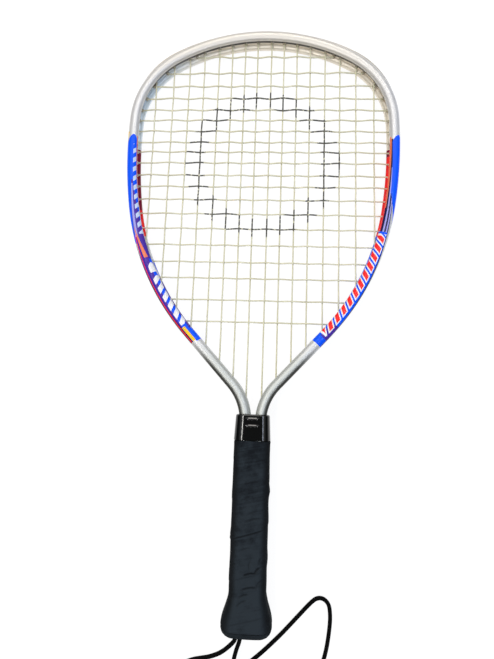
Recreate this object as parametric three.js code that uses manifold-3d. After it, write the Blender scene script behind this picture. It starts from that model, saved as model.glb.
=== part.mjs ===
// Racquetball racket in millimetres, +Z up, lying face up on a flat surface.
// +Y runs from the butt to the head tip and +X is to the right, seen from above.
// The frame is a bent double-barrel aluminium extrusion: two hollow lobes, front and back,
// joined by a web. The strings pass the web in plastic barrels and loop in the outer groove.

import * as THREE from 'three';
import { mergeVertices } from 'three/addons/utils/BufferGeometryUtils.js';
import Module from 'manifold-3d';

const wasm = await Module();
wasm.setup();

// Clearances
const clearance = 0.3;            // between pieces that touch on the real racket
const overrun = 1;                // how far a cutting tool passes the face that it cuts
const chordSag = 0.4;             // the most that a facet may leave a bend's true arc

// Head outline: the frame's centreline from the head tip round one side to the handle
const tipRadius = 171.4;
const tipTurn = THREE.MathUtils.degToRad(29.9);
const cornerRadius = 80.4;
const cornerTurn = THREE.MathUtils.degToRad(57.7);
const sideRadius = 452.7;
const sideTurn = THREE.MathUtils.degToRad(11.4);
const lowerRadius = 232.4;
const lowerTurn = THREE.MathUtils.degToRad(33.6);
const throatRadius = 48.7;
const tubeSpacing = 13.6;         // between the centres of the two tubes in the handle
const tubeInHandle = 141;         // how far each tube runs past the throat bend

// Frame extrusion
const frameDepth = 20;            // front to back
const lobeWidth = 9.8;            // across each lobe, in the plane of the strings
const lobeHeight = 7.2;           // of each lobe, front to back
const tubeWall = 0.9;
const webThickness = 2.2;
const lobeFacets = 8;
const boreFacets = 6;

// Strings and their places
const stringDiameter = 1.5;
const stringSides = 5;
const mainPlaceShares = [0.055, 0.154, 0.257, 0.362, 0.478, 0.594, 0.718, 0.856];
const crossPlaceShares = [
  0.048, 0.095, 0.133, 0.168, 0.201, 0.23, 0.261, 0.292, 0.319, 0.349,
  0.383, 0.414, 0.449, 0.487, 0.526, 0.569, 0.613, 0.654, 0.709, 0.763,
];
const holeStagger = 0.9;          // main holes sit this far in front of the middle, cross holes behind
const leadIn = 9;                 // over which a string comes from its hole to the strings' plane
const laneStep = 12;              // between the points of a string that follows the groove
const knotTail = 9;               // string left in the groove past its last hole

// Grommet strips and bumper guard
const barrelBore = 2.2;
const barrelWall = 0.5;
const barrelSides = 5;
const barrelReach = 2.3;          // past the web's inner face
const stripThickness = 0.8;
const stripJoint = 0.6;           // between the bumper guard and each side strip
const stripTail = 5;              // of a side strip past its last barrel
const crossesUnderBumper = 6;
const bumperEdge = 1;             // thickness of the bumper's free edges
const flangeHeight = 5.2;         // how far the bumper's edges reach front and back of the middle
const crownHeight = 2.9;          // half of the width of the bumper's crown
const lipAtTip = 3.3;             // how far the crown stands out past the tube at the tip
const lipAtCorner = 4.4;          // and at the corners, its thickest places
const lipAtEnd = 0.6;             // and at its two ends
const cornerPlaceShare = 0.55;    // where along its half the bumper is thickest

// Handle
const handleLength = 171.9;       // from the end of the throat bend to the butt
const gripWidth = 32.3;
const gripDepth = 29;
const gripBevel = 6;
const bevelCrown = 0.5;           // how far each bevel's middle stands out
const wrapThickness = 1.9;
const wrapPitch = 33;             // how far the wound grip strip moves on in a turn
const seamWidth = 1.2;
const seamDepth = 0.6;
const seamStartShare = 0.83;      // of a turn, from the right-hand side, where the seam leaves the collar
const buttWidth = 43.5;
const buttDepth = 39;
const buttFlareLength = 26;       // from the start of the flare to its widest place
const buttWidestAbove = 6;        // the flare's widest place, above the butt's end face
const buttEndShare = 0.76;        // width of the butt's end face as a share of its widest place
const wrapEndAbove = 5;           // the wrap's lower edge, above the butt's end face

// Collar
const collarLength = 22.3;
const collarRise = 6.6;           // how far it reaches up past the end of the throat bend
const collarTopWidth = 30;
const collarTopDepth = 26;
const collarChamfer = 1.6;
const collarValley = 1.9;         // depth of the hollow between the two tubes
const collarValleyHalf = 6.4;     // half of the hollow's width
const collarFacets = 24;
const ridgeHeight = 0.9;
const ridgeHalf = 1.3;
const ridgePlaces = [3.6, 9.6];   // below the collar's top edge

// Butt cap, its staples and the wrist cord
const capCupAbove = 25;           // the cap's upper edge, above the butt's end face
const capFloor = 3;
const capLedge = 1.1;             // on which the handle shells stand, at the foot of the cap's cup
const capChamber = 9.5;           // room for the knot under the handle shells
const shellSplit = 0.3;           // gap between the two handle shells
const stapleWire = 1.1;
const stapleCrown = 11;
const stapleLeg = 4.4;
const stapleAbove = 19;           // the staples, above the butt's end face
const cordDiameter = 3.6;
const cordSides = 8;
const cordSteps = 54;
const cordHoleOffset = 6.5;       // the cord's hole, to the left of the handle's axis
const cordHoleSides = 12;
const knotWidth = 10;
const knotDepth = 7.5;
const knotHeight = 6.5;

// The cord's route over the surface that the racket lies on. It leaves the left half of the hole,
// falls to the surface, crosses under itself, runs round a loop and comes back to the right half.
const cordRoute = [
  [-8.45, -276.6, 19.55], [-8.5, -283, 19.65], [-9.5, -287.6, 19.35], [-13.3, -292.4, 18.2],
  [-21.4, -300.6, 13.7], [-31.4, -307.4, 7.9], [-38.6, -310.6, 4.6], [-46.5, -313.4, 2.6],
  [-54.5, -317.2, 1.95], [-60.5, -322.6, 1.9], [-63, -329.6, 1.9], [-60.6, -336.8, 1.9],
  [-54, -341.2, 1.9], [-45.5, -341.6, 1.9], [-34, -337.4, 1.9], [-20, -329.5, 1.9],
  [6.5, -310.1, 1.9], [26.9, -291.4, 1.9], [44.2, -273.1, 1.9], [52, -264.7, 1.9],
  [56.8, -260.1, 1.9], [59.6, -258.2, 1.9], [62.8, -257.5, 1.9], [66, -258.2, 1.9],
  [68.8, -260.3, 1.9], [70.6, -263.3, 1.9], [71.5, -268, 1.9], [71.6, -278, 1.9],
  [66.7, -306.4, 1.9], [56.5, -327.5, 1.9], [37, -342.6, 1.9], [15, -345, 2],
  [-2, -335.8, 3.9], [-9.8, -321, 7.4], [-10.2, -308, 12.4], [-8, -296.5, 17.3],
  [-5.6, -288.6, 19.2], [-4.65, -283, 19.6], [-4.55, -276.6, 19.55],
];

// Sizes that follow
const tubeOffset = tubeSpacing / 2;
const lobeHalfWidth = lobeWidth / 2;
const lobeHalfHeight = lobeHeight / 2;
const lobeCentre = frameDepth / 2 - lobeHalfHeight;
const webHalf = webThickness / 2;
const stringRadius = stringDiameter / 2;
const weaveRise = stringDiameter + clearance;
const barrelRadius = barrelBore / 2 + barrelWall;
const webHoleRadius = barrelRadius + clearance;
const barrelMouth = -(webHalf + barrelReach);
const stripFloor = webHalf + clearance;
const stripTop = stripFloor + stripThickness;
const laneRadius = stripTop + clearance + stringRadius;
const stringTurn = barrelMouth - clearance;

// The frame's centreline, as legs of constant bend. Places along it are distances from the
// head tip: positive on the right and negative on the left.
function alongLeg(leg, distance) {
  const heading = leg.heading + leg.bend * distance;
  if (leg.bend === 0) {
    const x = leg.x + Math.cos(heading) * distance;
    const y = leg.y + Math.sin(heading) * distance;
    return { x, y, heading };
  }
  const x = leg.x + (Math.sin(heading) - Math.sin(leg.heading)) / leg.bend;
  const y = leg.y - (Math.cos(heading) - Math.cos(leg.heading)) / leg.bend;
  return { x, y, heading };
}

function makeLegs() {
  const legs = [];
  let end = { x: 0, y: 0, heading: 0 };
  let travelled = 0;
  const addLeg = (length, bend) => {
    const leg = { ...end, length, bend, start: travelled };
    legs.push(leg);
    end = alongLeg(leg, length);
    travelled += length;
  };
  addLeg(tipRadius * tipTurn, -1 / tipRadius);
  addLeg(cornerRadius * cornerTurn, -1 / cornerRadius);
  addLeg(sideRadius * sideTurn, -1 / sideRadius);
  addLeg(lowerRadius * lowerTurn, -1 / lowerRadius);
  const throatTurn = -Math.PI / 2 - end.heading;
  const throatSpan = throatRadius * (1 + Math.sin(end.heading));
  addLeg((end.x - tubeOffset - throatSpan) / -Math.cos(end.heading), 0);
  addLeg(throatRadius * throatTurn, 1 / throatRadius);
  const throatEnd = end.y;
  const throatDistance = travelled;
  addLeg(tubeInHandle, 0);
  return { legs, throatEnd, throatDistance };
}

const path = makeLegs();
const throatY = path.throatEnd;

// A place on the centreline, with the direction that points out of the head there
function placeAt(distance) {
  const side = distance < 0 ? -1 : 1;
  const along = Math.abs(distance);
  const leg = path.legs.findLast((one) => one.start <= along) ?? path.legs[0];
  const { x, y, heading } = alongLeg(leg, along - leg.start);
  const out = new THREE.Vector3(-Math.sin(heading) * side, Math.cos(heading), 0);
  return { point: new THREE.Vector3(x * side, y, 0), out, distance };
}

function offsetPoint(distance, outward, height) {
  const place = placeAt(distance);
  const point = place.point.clone().addScaledVector(place.out, outward);
  point.z = height;
  return point;
}

// Distances of the sections that keep every bend within the chord sag
function bendStations() {
  const right = [];
  for (const leg of path.legs) {
    const turnStep = 2 * Math.acos(1 - chordSag * Math.abs(leg.bend));
    const steps = leg.bend === 0 ? 1 : Math.ceil(leg.length * Math.abs(leg.bend) / turnStep);
    for (let step = 1; step <= steps; step += 1) right.push(leg.start + leg.length * step / steps);
  }
  return [...right.map((distance) => -distance).reverse(), 0, ...right];
}

function stationsBetween(from, to) {
  const middle = bendStations().filter((distance) => distance > from + overrun && distance < to - overrun);
  return [from, ...middle, to];
}

function solve(rising, low, high) {
  let [below, above] = [low, high];
  while (above - below > (high - low) * Number.EPSILON * 64) {
    const middle = (below + above) / 2;
    if (middle === below || middle === above) break;
    if (rising(middle) < 0) below = middle;
    else above = middle;
  }
  return (below + above) / 2;
}

// Closed bodies

function signedArea(loops, [a, b, c]) {
  const flat = loops.flat();
  return flat[b].clone().sub(flat[a]).cross(flat[c].clone().sub(flat[a]));
}

function capTriangles(loops) {
  const [outline, ...holes] = loops;
  return THREE.ShapeUtils.triangulateShape(outline.slice(), holes.map((hole) => hole.slice()))
    .map((face) => (signedArea(loops, face) < 0 ? [face[0], face[2], face[1]] : face));
}

// Carries flat loops from station to station. Each station gives the same number of points, its
// outline anticlockwise and its holes clockwise, seen from where the body is heading.
function carriedBody(stationLoops, pointAt) {
  const positions = [];
  const faces = [];
  const perStation = stationLoops[0].flat().length;
  stationLoops.forEach((loops, station) => {
    for (const flatPoint of loops.flat()) positions.push(...pointAt(station, flatPoint).toArray());
  });
  for (let station = 0; station + 1 < stationLoops.length; station += 1) {
    let first = station * perStation;
    for (const loop of stationLoops[station]) {
      for (let corner = 0; corner < loop.length; corner += 1) {
        const next = (corner + 1) % loop.length;
        const [a, b] = [first + corner, first + next];
        faces.push(a, b, b + perStation, a, b + perStation, a + perStation);
      }
      first += loop.length;
    }
  }
  const last = (stationLoops.length - 1) * perStation;
  for (const [a, b, c] of capTriangles(stationLoops[0])) faces.push(a, c, b);
  for (const [a, b, c] of capTriangles(stationLoops.at(-1))) faces.push(last + a, last + b, last + c);
  const geometry = new THREE.BufferGeometry();
  geometry.setAttribute('position', new THREE.Float32BufferAttribute(positions, 3));
  geometry.setIndex(faces);
  return geometry;
}

// A body that follows the frame: flat x is out of the head and flat y is up
function bentBody(distances, loopsAt) {
  const loops = distances.map((distance) => loopsAt(distance));
  return carriedBody(loops, (station, flat) => offsetPoint(distances[station], flat.x, flat.y));
}

// A body along the handle, from its top station down: flat x is to the right and flat y is up
function handleBody(heights, loopsAt) {
  return carriedBody(heights.map((height) => loopsAt(height)),
    (station, flat) => new THREE.Vector3(flat.x, heights[station], flat.y));
}

function circleLoop(radius, sides) {
  return Array.from({ length: sides }, (_, side) => {
    const angle = 2 * Math.PI * side / sides;
    return new THREE.Vector2(radius * Math.cos(angle), radius * Math.sin(angle));
  });
}

// A round bar through the points, mitred at each one
function barBody(points, radius, sides, firstSide) {
  const section = circleLoop(radius, sides);
  const headings = points.slice(1).map((point, k) => point.clone().sub(points[k]).normalize());
  const start = headings[0];
  const across = firstSide.clone().addScaledVector(start, -firstSide.dot(start)).normalize();
  const upward = start.clone().cross(across);
  let offsets = section.map((flat) => across.clone().multiplyScalar(flat.x).addScaledVector(upward, flat.y));
  const rings = points.map((point, k) => {
    const arriving = headings[Math.max(k - 1, 0)];
    const leaving = headings[Math.min(k, headings.length - 1)];
    const plane = arriving.clone().add(leaving).normalize();
    const ring = offsets.map((offset) => offset.clone()
      .addScaledVector(arriving, -offset.dot(plane) / arriving.dot(plane)));
    offsets = ring.map((offset) => offset.clone().addScaledVector(leaving, -offset.dot(leaving)));
    return ring.map((offset) => offset.add(point));
  });
  const loops = points.map(() => [section]);
  return carriedBody(loops, (station, flat) => rings[station][section.indexOf(flat)]);
}

// Cutting and joining

function toSolid(geometry) {
  const bare = geometry.clone();
  for (const name of ['normal', 'uv']) bare.deleteAttribute(name);
  const merged = mergeVertices(bare);
  return new wasm.Manifold(new wasm.Mesh({
    numProp: 3,
    vertProperties: merged.attributes.position.array,
    triVerts: Uint32Array.from(merged.index.array),
  }));
}

function toGeometry(solid) {
  const { vertProperties, triVerts } = solid.getMesh();
  const geometry = new THREE.BufferGeometry();
  geometry.setAttribute('position', new THREE.Float32BufferAttribute(vertProperties, 3));
  geometry.setIndex([...triVerts]);
  return geometry;
}

function cut(geometry, tools) {
  return toGeometry(tools.reduce((solid, tool) => solid.subtract(toSolid(tool)), toSolid(geometry)));
}

function join(geometry, additions) {
  return toGeometry(additions.reduce((solid, piece) => solid.add(toSolid(piece)), toSolid(geometry)));
}

// Frame

function ellipseArc(centre, halfWidth, halfHeight, from, to, steps) {
  return Array.from({ length: steps + 1 }, (_, step) => {
    const angle = from + (to - from) * step / steps;
    return new THREE.Vector2(halfWidth * Math.cos(angle), centre + halfHeight * Math.sin(angle));
  });
}

function extrusionOutline(extra) {
  const halfWidth = lobeHalfWidth + extra;
  const halfHeight = lobeHalfHeight + extra;
  const web = Math.acos((webHalf + extra) / halfWidth);
  const front = ellipseArc(lobeCentre, halfWidth, halfHeight, -web, Math.PI + web, lobeFacets);
  const back = front.map((flat) => new THREE.Vector2(-flat.x, -flat.y));
  return [...front, ...back];
}

function extrusionBore(side) {
  const halfWidth = lobeHalfWidth - tubeWall;
  const halfHeight = lobeHalfHeight - tubeWall;
  return ellipseArc(lobeCentre * side, halfWidth, halfHeight, 2 * Math.PI, 0, boreFacets).slice(1);
}

// String places, as holes in the frame. A string turns into its hole just inside the frame, so
// the hole is where that inner line meets the string.

const widest = solve((distance) => -placeAt(distance).out.y, 0, path.throatDistance / 2);
const headHalfWidth = placeAt(widest).point.x;

function mainHole(index, atTop) {
  const side = index < mainPlaceShares.length ? -1 : 1;
  const rank = side < 0 ? mainPlaceShares.length - 1 - index : index - mainPlaceShares.length;
  const x = mainPlaceShares[rank] * headHalfWidth;
  const distance = atTop
    ? solve((along) => offsetPoint(along, stringTurn, 0).x - x, 0, widest)
    : solve((along) => x - offsetPoint(along, stringTurn, 0).x, widest, path.throatDistance);
  return { distance: distance * side, height: holeStagger };
}

function crossHole(index, side) {
  const y = crossPlaceShares[index] * throatY;
  const distance = solve((along) => y - offsetPoint(along, stringTurn, 0).y, 0, path.throatDistance);
  return { distance: distance * side, height: -holeStagger };
}

const mainCount = 2 * mainPlaceShares.length;
const mains = Array.from({ length: mainCount }, (_, index) => ({
  top: mainHole(index, true),
  bottom: mainHole(index, false),
}));
const crosses = crossPlaceShares.map((_, index) => ({
  left: crossHole(index, -1),
  right: crossHole(index, 1),
}));
const holes = [...mains.flatMap((main) => [main.top, main.bottom]),
  ...crosses.flatMap((cross) => [cross.left, cross.right])];

function holeBar(hole, from, to, radius, sides) {
  const ends = [from, to].map((outward) => offsetPoint(hole.distance, outward, hole.height));
  return barBody(ends, radius, sides, new THREE.Vector3(0, 0, 1));
}

function makeFrame() {
  const loops = [extrusionOutline(0), extrusionBore(1), extrusionBore(-1)];
  const tube = bentBody(bendStations(), () => loops);
  const drill = (hole) => holeBar(hole, -webHalf - overrun, webHalf + overrun, webHoleRadius, barrelSides);
  return cut(tube, holes.map(drill));
}

// Grommet strips

const bumperEnd = (crosses[crossesUnderBumper - 1].right.distance
  + crosses[crossesUnderBumper].right.distance) / 2;
const lastBarrel = mains[mainPlaceShares.length].bottom.distance;

function withBarrels(strip, itsHoles) {
  const shells = itsHoles.map((hole) =>
    holeBar(hole, barrelMouth, stripFloor + stripThickness / 2, barrelRadius, barrelSides));
  const bores = itsHoles.map((hole) =>
    holeBar(hole, barrelMouth - overrun, stripTop + overrun, barrelBore / 2, barrelSides));
  return cut(join(strip, shells), bores);
}

// Half of the groove's height at a distance out from the web, less the clearance
function grooveHalf(outward) {
  const share = outward / (lobeHalfWidth + clearance);
  return lobeCentre - (lobeHalfHeight + clearance) * Math.sqrt(1 - share * share);
}

function makeSideStrip(side) {
  const loop = [
    new THREE.Vector2(stripFloor, -grooveHalf(stripFloor)),
    new THREE.Vector2(stripTop, -grooveHalf(stripTop)),
    new THREE.Vector2(stripTop, grooveHalf(stripTop)),
    new THREE.Vector2(stripFloor, grooveHalf(stripFloor)),
  ];
  const first = bumperEnd + stripJoint / 2;
  const last = lastBarrel + stripTail;
  const distances = side > 0 ? stationsBetween(first, last) : stationsBetween(-last, -first);
  const itsHoles = holes.filter((hole) => hole.distance * side > first);
  return withBarrels(bentBody(distances, () => [loop]), itsHoles);
}

// How far the bumper's crown stands out past the tube
function lipAt(distance) {
  const share = Math.min(Math.abs(distance) / bumperEnd, 1);
  if (share < cornerPlaceShare) {
    const thickening = THREE.MathUtils.smoothstep(share, 0, cornerPlaceShare);
    return THREE.MathUtils.lerp(lipAtTip, lipAtCorner, thickening);
  }
  const thinning = THREE.MathUtils.smoothstep(share, cornerPlaceShare, 1);
  return THREE.MathUtils.lerp(lipAtCorner, lipAtEnd, thinning);
}

function bumperLoop(distance) {
  const channel = holeStagger + stringRadius + clearance;
  const crown = lobeHalfWidth + lipAt(distance);
  const flangeShare = (lobeCentre - flangeHeight) / (lobeHalfHeight + clearance);
  const edge = (lobeHalfWidth + clearance) * Math.sqrt(1 - flangeShare * flangeShare);
  const shoulder = Math.max(edge + bumperEdge / 2, crown - bumperEdge);
  const middle = (stripTop + edge) / 2;
  const half = [
    new THREE.Vector2(stripTop, channel),
    new THREE.Vector2(crown, channel),
    new THREE.Vector2(crown, crownHeight),
    new THREE.Vector2(shoulder, (crownHeight + flangeHeight) / 2),
    new THREE.Vector2(edge, flangeHeight),
    new THREE.Vector2(middle, grooveHalf(middle)),
    new THREE.Vector2(stripFloor, grooveHalf(stripFloor)),
  ];
  return [...half, ...half.map((flat) => new THREE.Vector2(flat.x, -flat.y)).reverse()];
}

function makeBumper() {
  const end = bumperEnd - stripJoint / 2;
  const itsHoles = holes.filter((hole) => Math.abs(hole.distance) < end);
  return withBarrels(bentBody(stationsBetween(-end, end), (distance) => [bumperLoop(distance)]), itsHoles);
}

// Strings

const mainX = mains.map((main) => offsetPoint(main.top.distance, stringTurn, 0).x);
const crossY = crosses.map((cross) => offsetPoint(cross.left.distance, stringTurn, 0).y);

// How far a crossing lies from the frame, along its main string and along its cross string
function crossingRoom(mainIndex, crossIndex) {
  const [x, y] = [mainX[mainIndex], crossY[crossIndex]];
  const half = Math.abs(offsetPoint(crosses[crossIndex].right.distance, stringTurn, 0).x);
  const top = offsetPoint(mains[mainIndex].top.distance, stringTurn, 0).y;
  const bottom = offsetPoint(mains[mainIndex].bottom.distance, stringTurn, 0).y;
  return { onMain: Math.min(top - y, y - bottom), onCross: half - Math.abs(x) };
}

function isInside(mainIndex, crossIndex) {
  const { onMain, onCross } = crossingRoom(mainIndex, crossIndex);
  return Math.min(onMain, onCross) > stringDiameter;
}

// The mains run straight, and the crosses weave over and under them. Next to its own hole, which
// is behind the mains' holes, a cross always passes behind.
function crossHeight(mainIndex, crossIndex) {
  const { onMain, onCross } = crossingRoom(mainIndex, crossIndex);
  const mainHeight = holeStagger * Math.max(0, 1 - onMain / leadIn);
  const inFront = (mainIndex + crossIndex) % 2 === 0 && onCross > leadIn;
  return mainHeight + (inFront ? weaveRise : -weaveRise);
}

// The points of a string from the groove through a hole to the inside of the head
function throughHole(hole) {
  return [laneRadius, stringTurn].map((outward) => offsetPoint(hole.distance, outward, hole.height));
}

function alongGroove(from, to) {
  const span = to.distance - from.distance;
  const steps = Math.ceil(Math.abs(span) / laneStep);
  return Array.from({ length: steps - 1 }, (_, step) =>
    offsetPoint(from.distance + span * (step + 1) / steps, laneRadius, from.height));
}

// A serpentine string: each run enters by one hole and leaves by the other, then follows the
// groove to the next run
function makeString(runs) {
  const tail = (hole, side) => offsetPoint(hole.distance + side * knotTail, laneRadius, hole.height);
  const points = [tail(runs[0].enter, runs[0].tailSide)];
  runs.forEach((run, index) => {
    points.push(...throughHole(run.enter), ...run.crossings, ...throughHole(run.leave).reverse());
    if (index + 1 < runs.length) points.push(...alongGroove(run.leave, runs[index + 1].enter));
  });
  points.push(tail(runs.at(-1).leave, runs.at(-1).tailSide));
  return barBody(points, stringRadius, stringSides, new THREE.Vector3(0, 0, 1));
}

function makeMainString() {
  return makeString(mains.map((main, index) => {
    const ends = [main.top, main.bottom].map((hole) => offsetPoint(hole.distance, stringTurn, 0));
    const level = [ends[0].setY(ends[0].y - leadIn), ends[1].setY(ends[1].y + leadIn)];
    const downward = index % 2 === 0;
    return {
      enter: downward ? main.top : main.bottom,
      leave: downward ? main.bottom : main.top,
      crossings: downward ? level : level.reverse(),
      tailSide: index === 0 ? 1 : -1,
    };
  }));
}

function makeCrossString() {
  return makeString(crosses.map((cross, index) => {
    const crossings = mainX.map((x, mainIndex) => ({ x, mainIndex }))
      .filter(({ mainIndex }) => isInside(mainIndex, index))
      .map(({ x, mainIndex }) => new THREE.Vector3(x, crossY[index], crossHeight(mainIndex, index)));
    const rightward = index % 2 === 0;
    return {
      enter: rightward ? cross.left : cross.right,
      leave: rightward ? cross.right : cross.left,
      crossings: rightward ? crossings : crossings.reverse(),
      tailSide: 1,
    };
  }));
}

// Handle

const buttY = throatY - handleLength;
const collarTopY = throatY + collarRise;
const gripTopY = collarTopY - collarLength;
const widestButtY = buttY + buttWidestAbove;
const wrapEndY = buttY + wrapEndAbove;

// Width and depth of the handle's outer skin at a height
function handleSize(y) {
  const flare = THREE.MathUtils.smoothstep(widestButtY + buttFlareLength - y, 0, buttFlareLength);
  const end = THREE.MathUtils.clamp((widestButtY - y) / buttWidestAbove, 0, 1);
  const endShare = THREE.MathUtils.lerp(buttEndShare, 1, Math.sqrt(1 - end * end));
  return {
    width: THREE.MathUtils.lerp(gripWidth, buttWidth, flare) * endShare,
    depth: THREE.MathUtils.lerp(gripDepth, buttDepth, flare) * endShare,
  };
}

// An eight-sided outline with softened corners, drawn in from a width and depth
function bevelLoop(width, depth, inset) {
  const halfWidth = width / 2 - inset;
  const halfDepth = depth / 2 - inset;
  const bevel = gripBevel * (halfWidth + halfDepth) / (gripWidth / 2 + gripDepth / 2);
  const corners = [[1, 1], [-1, 1], [-1, -1], [1, -1]];
  return corners.flatMap(([side, face]) => {
    const flatEnd = new THREE.Vector2(side * (halfWidth - bevel), face * halfDepth);
    const sideEnd = new THREE.Vector2(side * halfWidth, face * (halfDepth - bevel));
    const soft = flatEnd.clone().add(sideEnd).multiplyScalar(1 / 2);
    const middle = soft.add(new THREE.Vector2(side, face).normalize().multiplyScalar(bevelCrown));
    return side * face > 0 ? [sideEnd, middle, flatEnd] : [flatEnd, middle, sideEnd];
  });
}

function handleLoop(y, inset) {
  const { width, depth } = handleSize(y);
  return bevelLoop(width, depth, inset);
}

function evenHeights(from, to, steps) {
  return Array.from({ length: steps + 1 }, (_, step) => from + (to - from) * step / steps);
}

// The flare's sections, which the wrap and the cap under it share
const flareHeights = [...evenHeights(widestButtY + buttFlareLength, widestButtY, 6), wrapEndY];

// Clears the two tubes and their web out of a handle piece
function tubeRoom(bottomY) {
  const bottom = path.throatDistance + (throatY - bottomY);
  const loops = [extrusionOutline(clearance)];
  const right = stationsBetween(path.throatDistance / 2, bottom);
  const left = stationsBetween(-bottom, -path.throatDistance / 2);
  return [right, left].map((distances) => bentBody(distances, () => loops));
}

// The collar hugs the two tubes, with a hollow between them that two low ridges cross
function collarLoop(y) {
  const below = collarTopY - y;
  const { width, depth } = handleSize(gripTopY);
  const down = below / collarLength;
  const chamfer = Math.max(0, collarChamfer - below);
  const halfWidth = THREE.MathUtils.lerp(collarTopWidth, width, down) / 2 - chamfer;
  const halfDepth = THREE.MathUtils.lerp(collarTopDepth, depth, down) / 2 - chamfer / 2;
  const ridge = Math.max(...ridgePlaces.map((place) => 1 - Math.abs(below - place) / ridgeHalf), 0);
  const valley = collarValley * (1 - down) - ridgeHeight * ridge;
  return Array.from({ length: collarFacets }, (_, step) => {
    const angle = 2 * Math.PI * (step + 1 / 2) / collarFacets;
    const squared = (value) => Math.sign(value) * Math.sqrt(Math.abs(value));
    const x = halfWidth * squared(Math.cos(angle));
    const z = halfDepth * squared(Math.sin(angle));
    const isBroadFace = Math.abs(Math.sin(angle)) > Math.abs(Math.cos(angle));
    const dip = isBroadFace ? valley * (1 - THREE.MathUtils.smoothstep(Math.abs(x), 0, collarValleyHalf)) : 0;
    return new THREE.Vector2(x, z - Math.sign(z) * dip);
  });
}

function makeCollar() {
  const ridges = ridgePlaces.flatMap((place) => [place - ridgeHalf, place, place + ridgeHalf]);
  const below = [0, collarChamfer, ...ridges, collarLength - clearance];
  const skin = handleBody(below.map((drop) => collarTopY - drop), (y) => [collarLoop(y)]);
  return cut(skin, tubeRoom(gripTopY - overrun));
}

// Each handle shell is half of the moulding that fills out the tubes to the grip's shape
function makeHandleShell(face) {
  const inset = wrapThickness + clearance;
  const bottom = buttY + capFloor + capChamber;
  const heights = [gripTopY - clearance, widestButtY + buttFlareLength, bottom];
  const half = (y) => {
    const loop = bevelLoop(gripWidth, gripDepth, inset).filter((flat) => flat.y * face > 0);
    const edge = shellSplit / 2 * face;
    const reach = gripWidth / 2 - inset;
    const [first, last] = [new THREE.Vector2(reach * face, edge), new THREE.Vector2(-reach * face, edge)];
    return [[first, ...loop, last]];
  };
  const legs = stapleLegs(face, clearance, overrun);
  return cut(handleBody(heights, half), [...tubeRoom(bottom - overrun), ...legs]);
}

// Butt cap
function capCavity(y) {
  return bevelLoop(gripWidth, gripDepth, wrapThickness);
}

function makeButtCap() {
  const top = buttY + capCupAbove;
  const wrapFoot = wrapEndY - clearance;
  const underWrap = [top, ...flareHeights.filter((y) => y < top - overrun), wrapFoot];
  const belowWrap = evenHeights(wrapFoot, buttY, 3);
  const heights = [...underWrap, ...belowWrap];
  const loops = [...underWrap.map((y) => [handleLoop(y, wrapThickness + clearance)]),
    ...belowWrap.map((y) => [handleLoop(y, 0)])];
  const body = carriedBody(loops, (station, flat) => new THREE.Vector3(flat.x, heights[station], flat.y));
  const cavity = handleBody([top + overrun, buttY + capFloor + capChamber - clearance],
    (y) => [capCavity(y)]);
  const chamber = handleBody([top, buttY + capFloor],
    () => [bevelLoop(gripWidth, gripDepth, wrapThickness + clearance + capLedge)]);
  const legs = [1, -1].flatMap((face) => stapleLegs(face, clearance, 0));
  return cut(body, [cavity, chamber, cordHole(), ...legs]);
}

function cordHole() {
  const halfGap = (cordDiameter + clearance) / 2;
  const radius = (cordDiameter / 2 + clearance) / Math.cos(Math.PI / cordHoleSides);
  const halfSide = Math.PI / cordHoleSides;
  const middle = new THREE.Vector2();
  const circle = circleLoop(radius, cordHoleSides).map((flat) => flat.rotateAround(middle, halfSide));
  const loop = circle.map(({ x, y }) => new THREE.Vector2(x - cordHoleOffset + Math.sign(x) * halfGap, y));
  return handleBody([buttY + capFloor + overrun, buttY - overrun], () => [loop]);
}

// Staples hold the cap to the shells, front and back, under the wrap
const stapleY = buttY + stapleAbove;

function capSkinZ(y) {
  return handleSize(y).depth / 2 - wrapThickness - clearance;
}

function stapleLegs(face, extra, past) {
  const half = stapleWire / 2 + extra;
  const top = capSkinZ(stapleY) + overrun;
  const bottom = capSkinZ(stapleY) - stapleWire - stapleLeg - extra - past;
  return [-1, 0, 1].map((side) => {
    const middle = side * (stapleCrown - stapleWire) / 2;
    const width = side === 0 ? stapleCrown / 2 + extra : half;
    const low = side === 0 ? capSkinZ(stapleY) - stapleWire - extra : bottom;
    const loop = [[1, 1], [-1, 1], [-1, -1], [1, -1]].map(([right, up]) =>
      new THREE.Vector2(middle + right * width, face * (up > 0 ? top : low)));
    const ordered = face > 0 ? loop : loop.reverse();
    return handleBody([stapleY + half, stapleY - half], () => [ordered]);
  });
}

function makeStaple(face) {
  const outer = stapleCrown / 2;
  const inner = outer - stapleWire;
  const top = capSkinZ(stapleY);
  const crown = top - stapleWire;
  const foot = crown - stapleLeg;
  const corners = [[outer, foot], [outer, top], [-outer, top], [-outer, foot], [-inner, foot],
    [-inner, crown], [inner, crown], [inner, foot]];
  const loop = corners.map(([x, z]) => new THREE.Vector2(x, face * z));
  const ordered = face > 0 ? loop : loop.reverse();
  return handleBody([stapleY + stapleWire / 2, stapleY - stapleWire / 2], () => [ordered]);
}

// Grip wrap: one strip wound down the handle, its edge showing as a spiral seam
function makeGripWrap() {
  const skin = handleBody([gripTopY - clearance, ...flareHeights],
    (y) => [handleLoop(y, 0), handleLoop(y, wrapThickness).reverse()]);
  return cut(skin, [seamTool()]);
}

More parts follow.
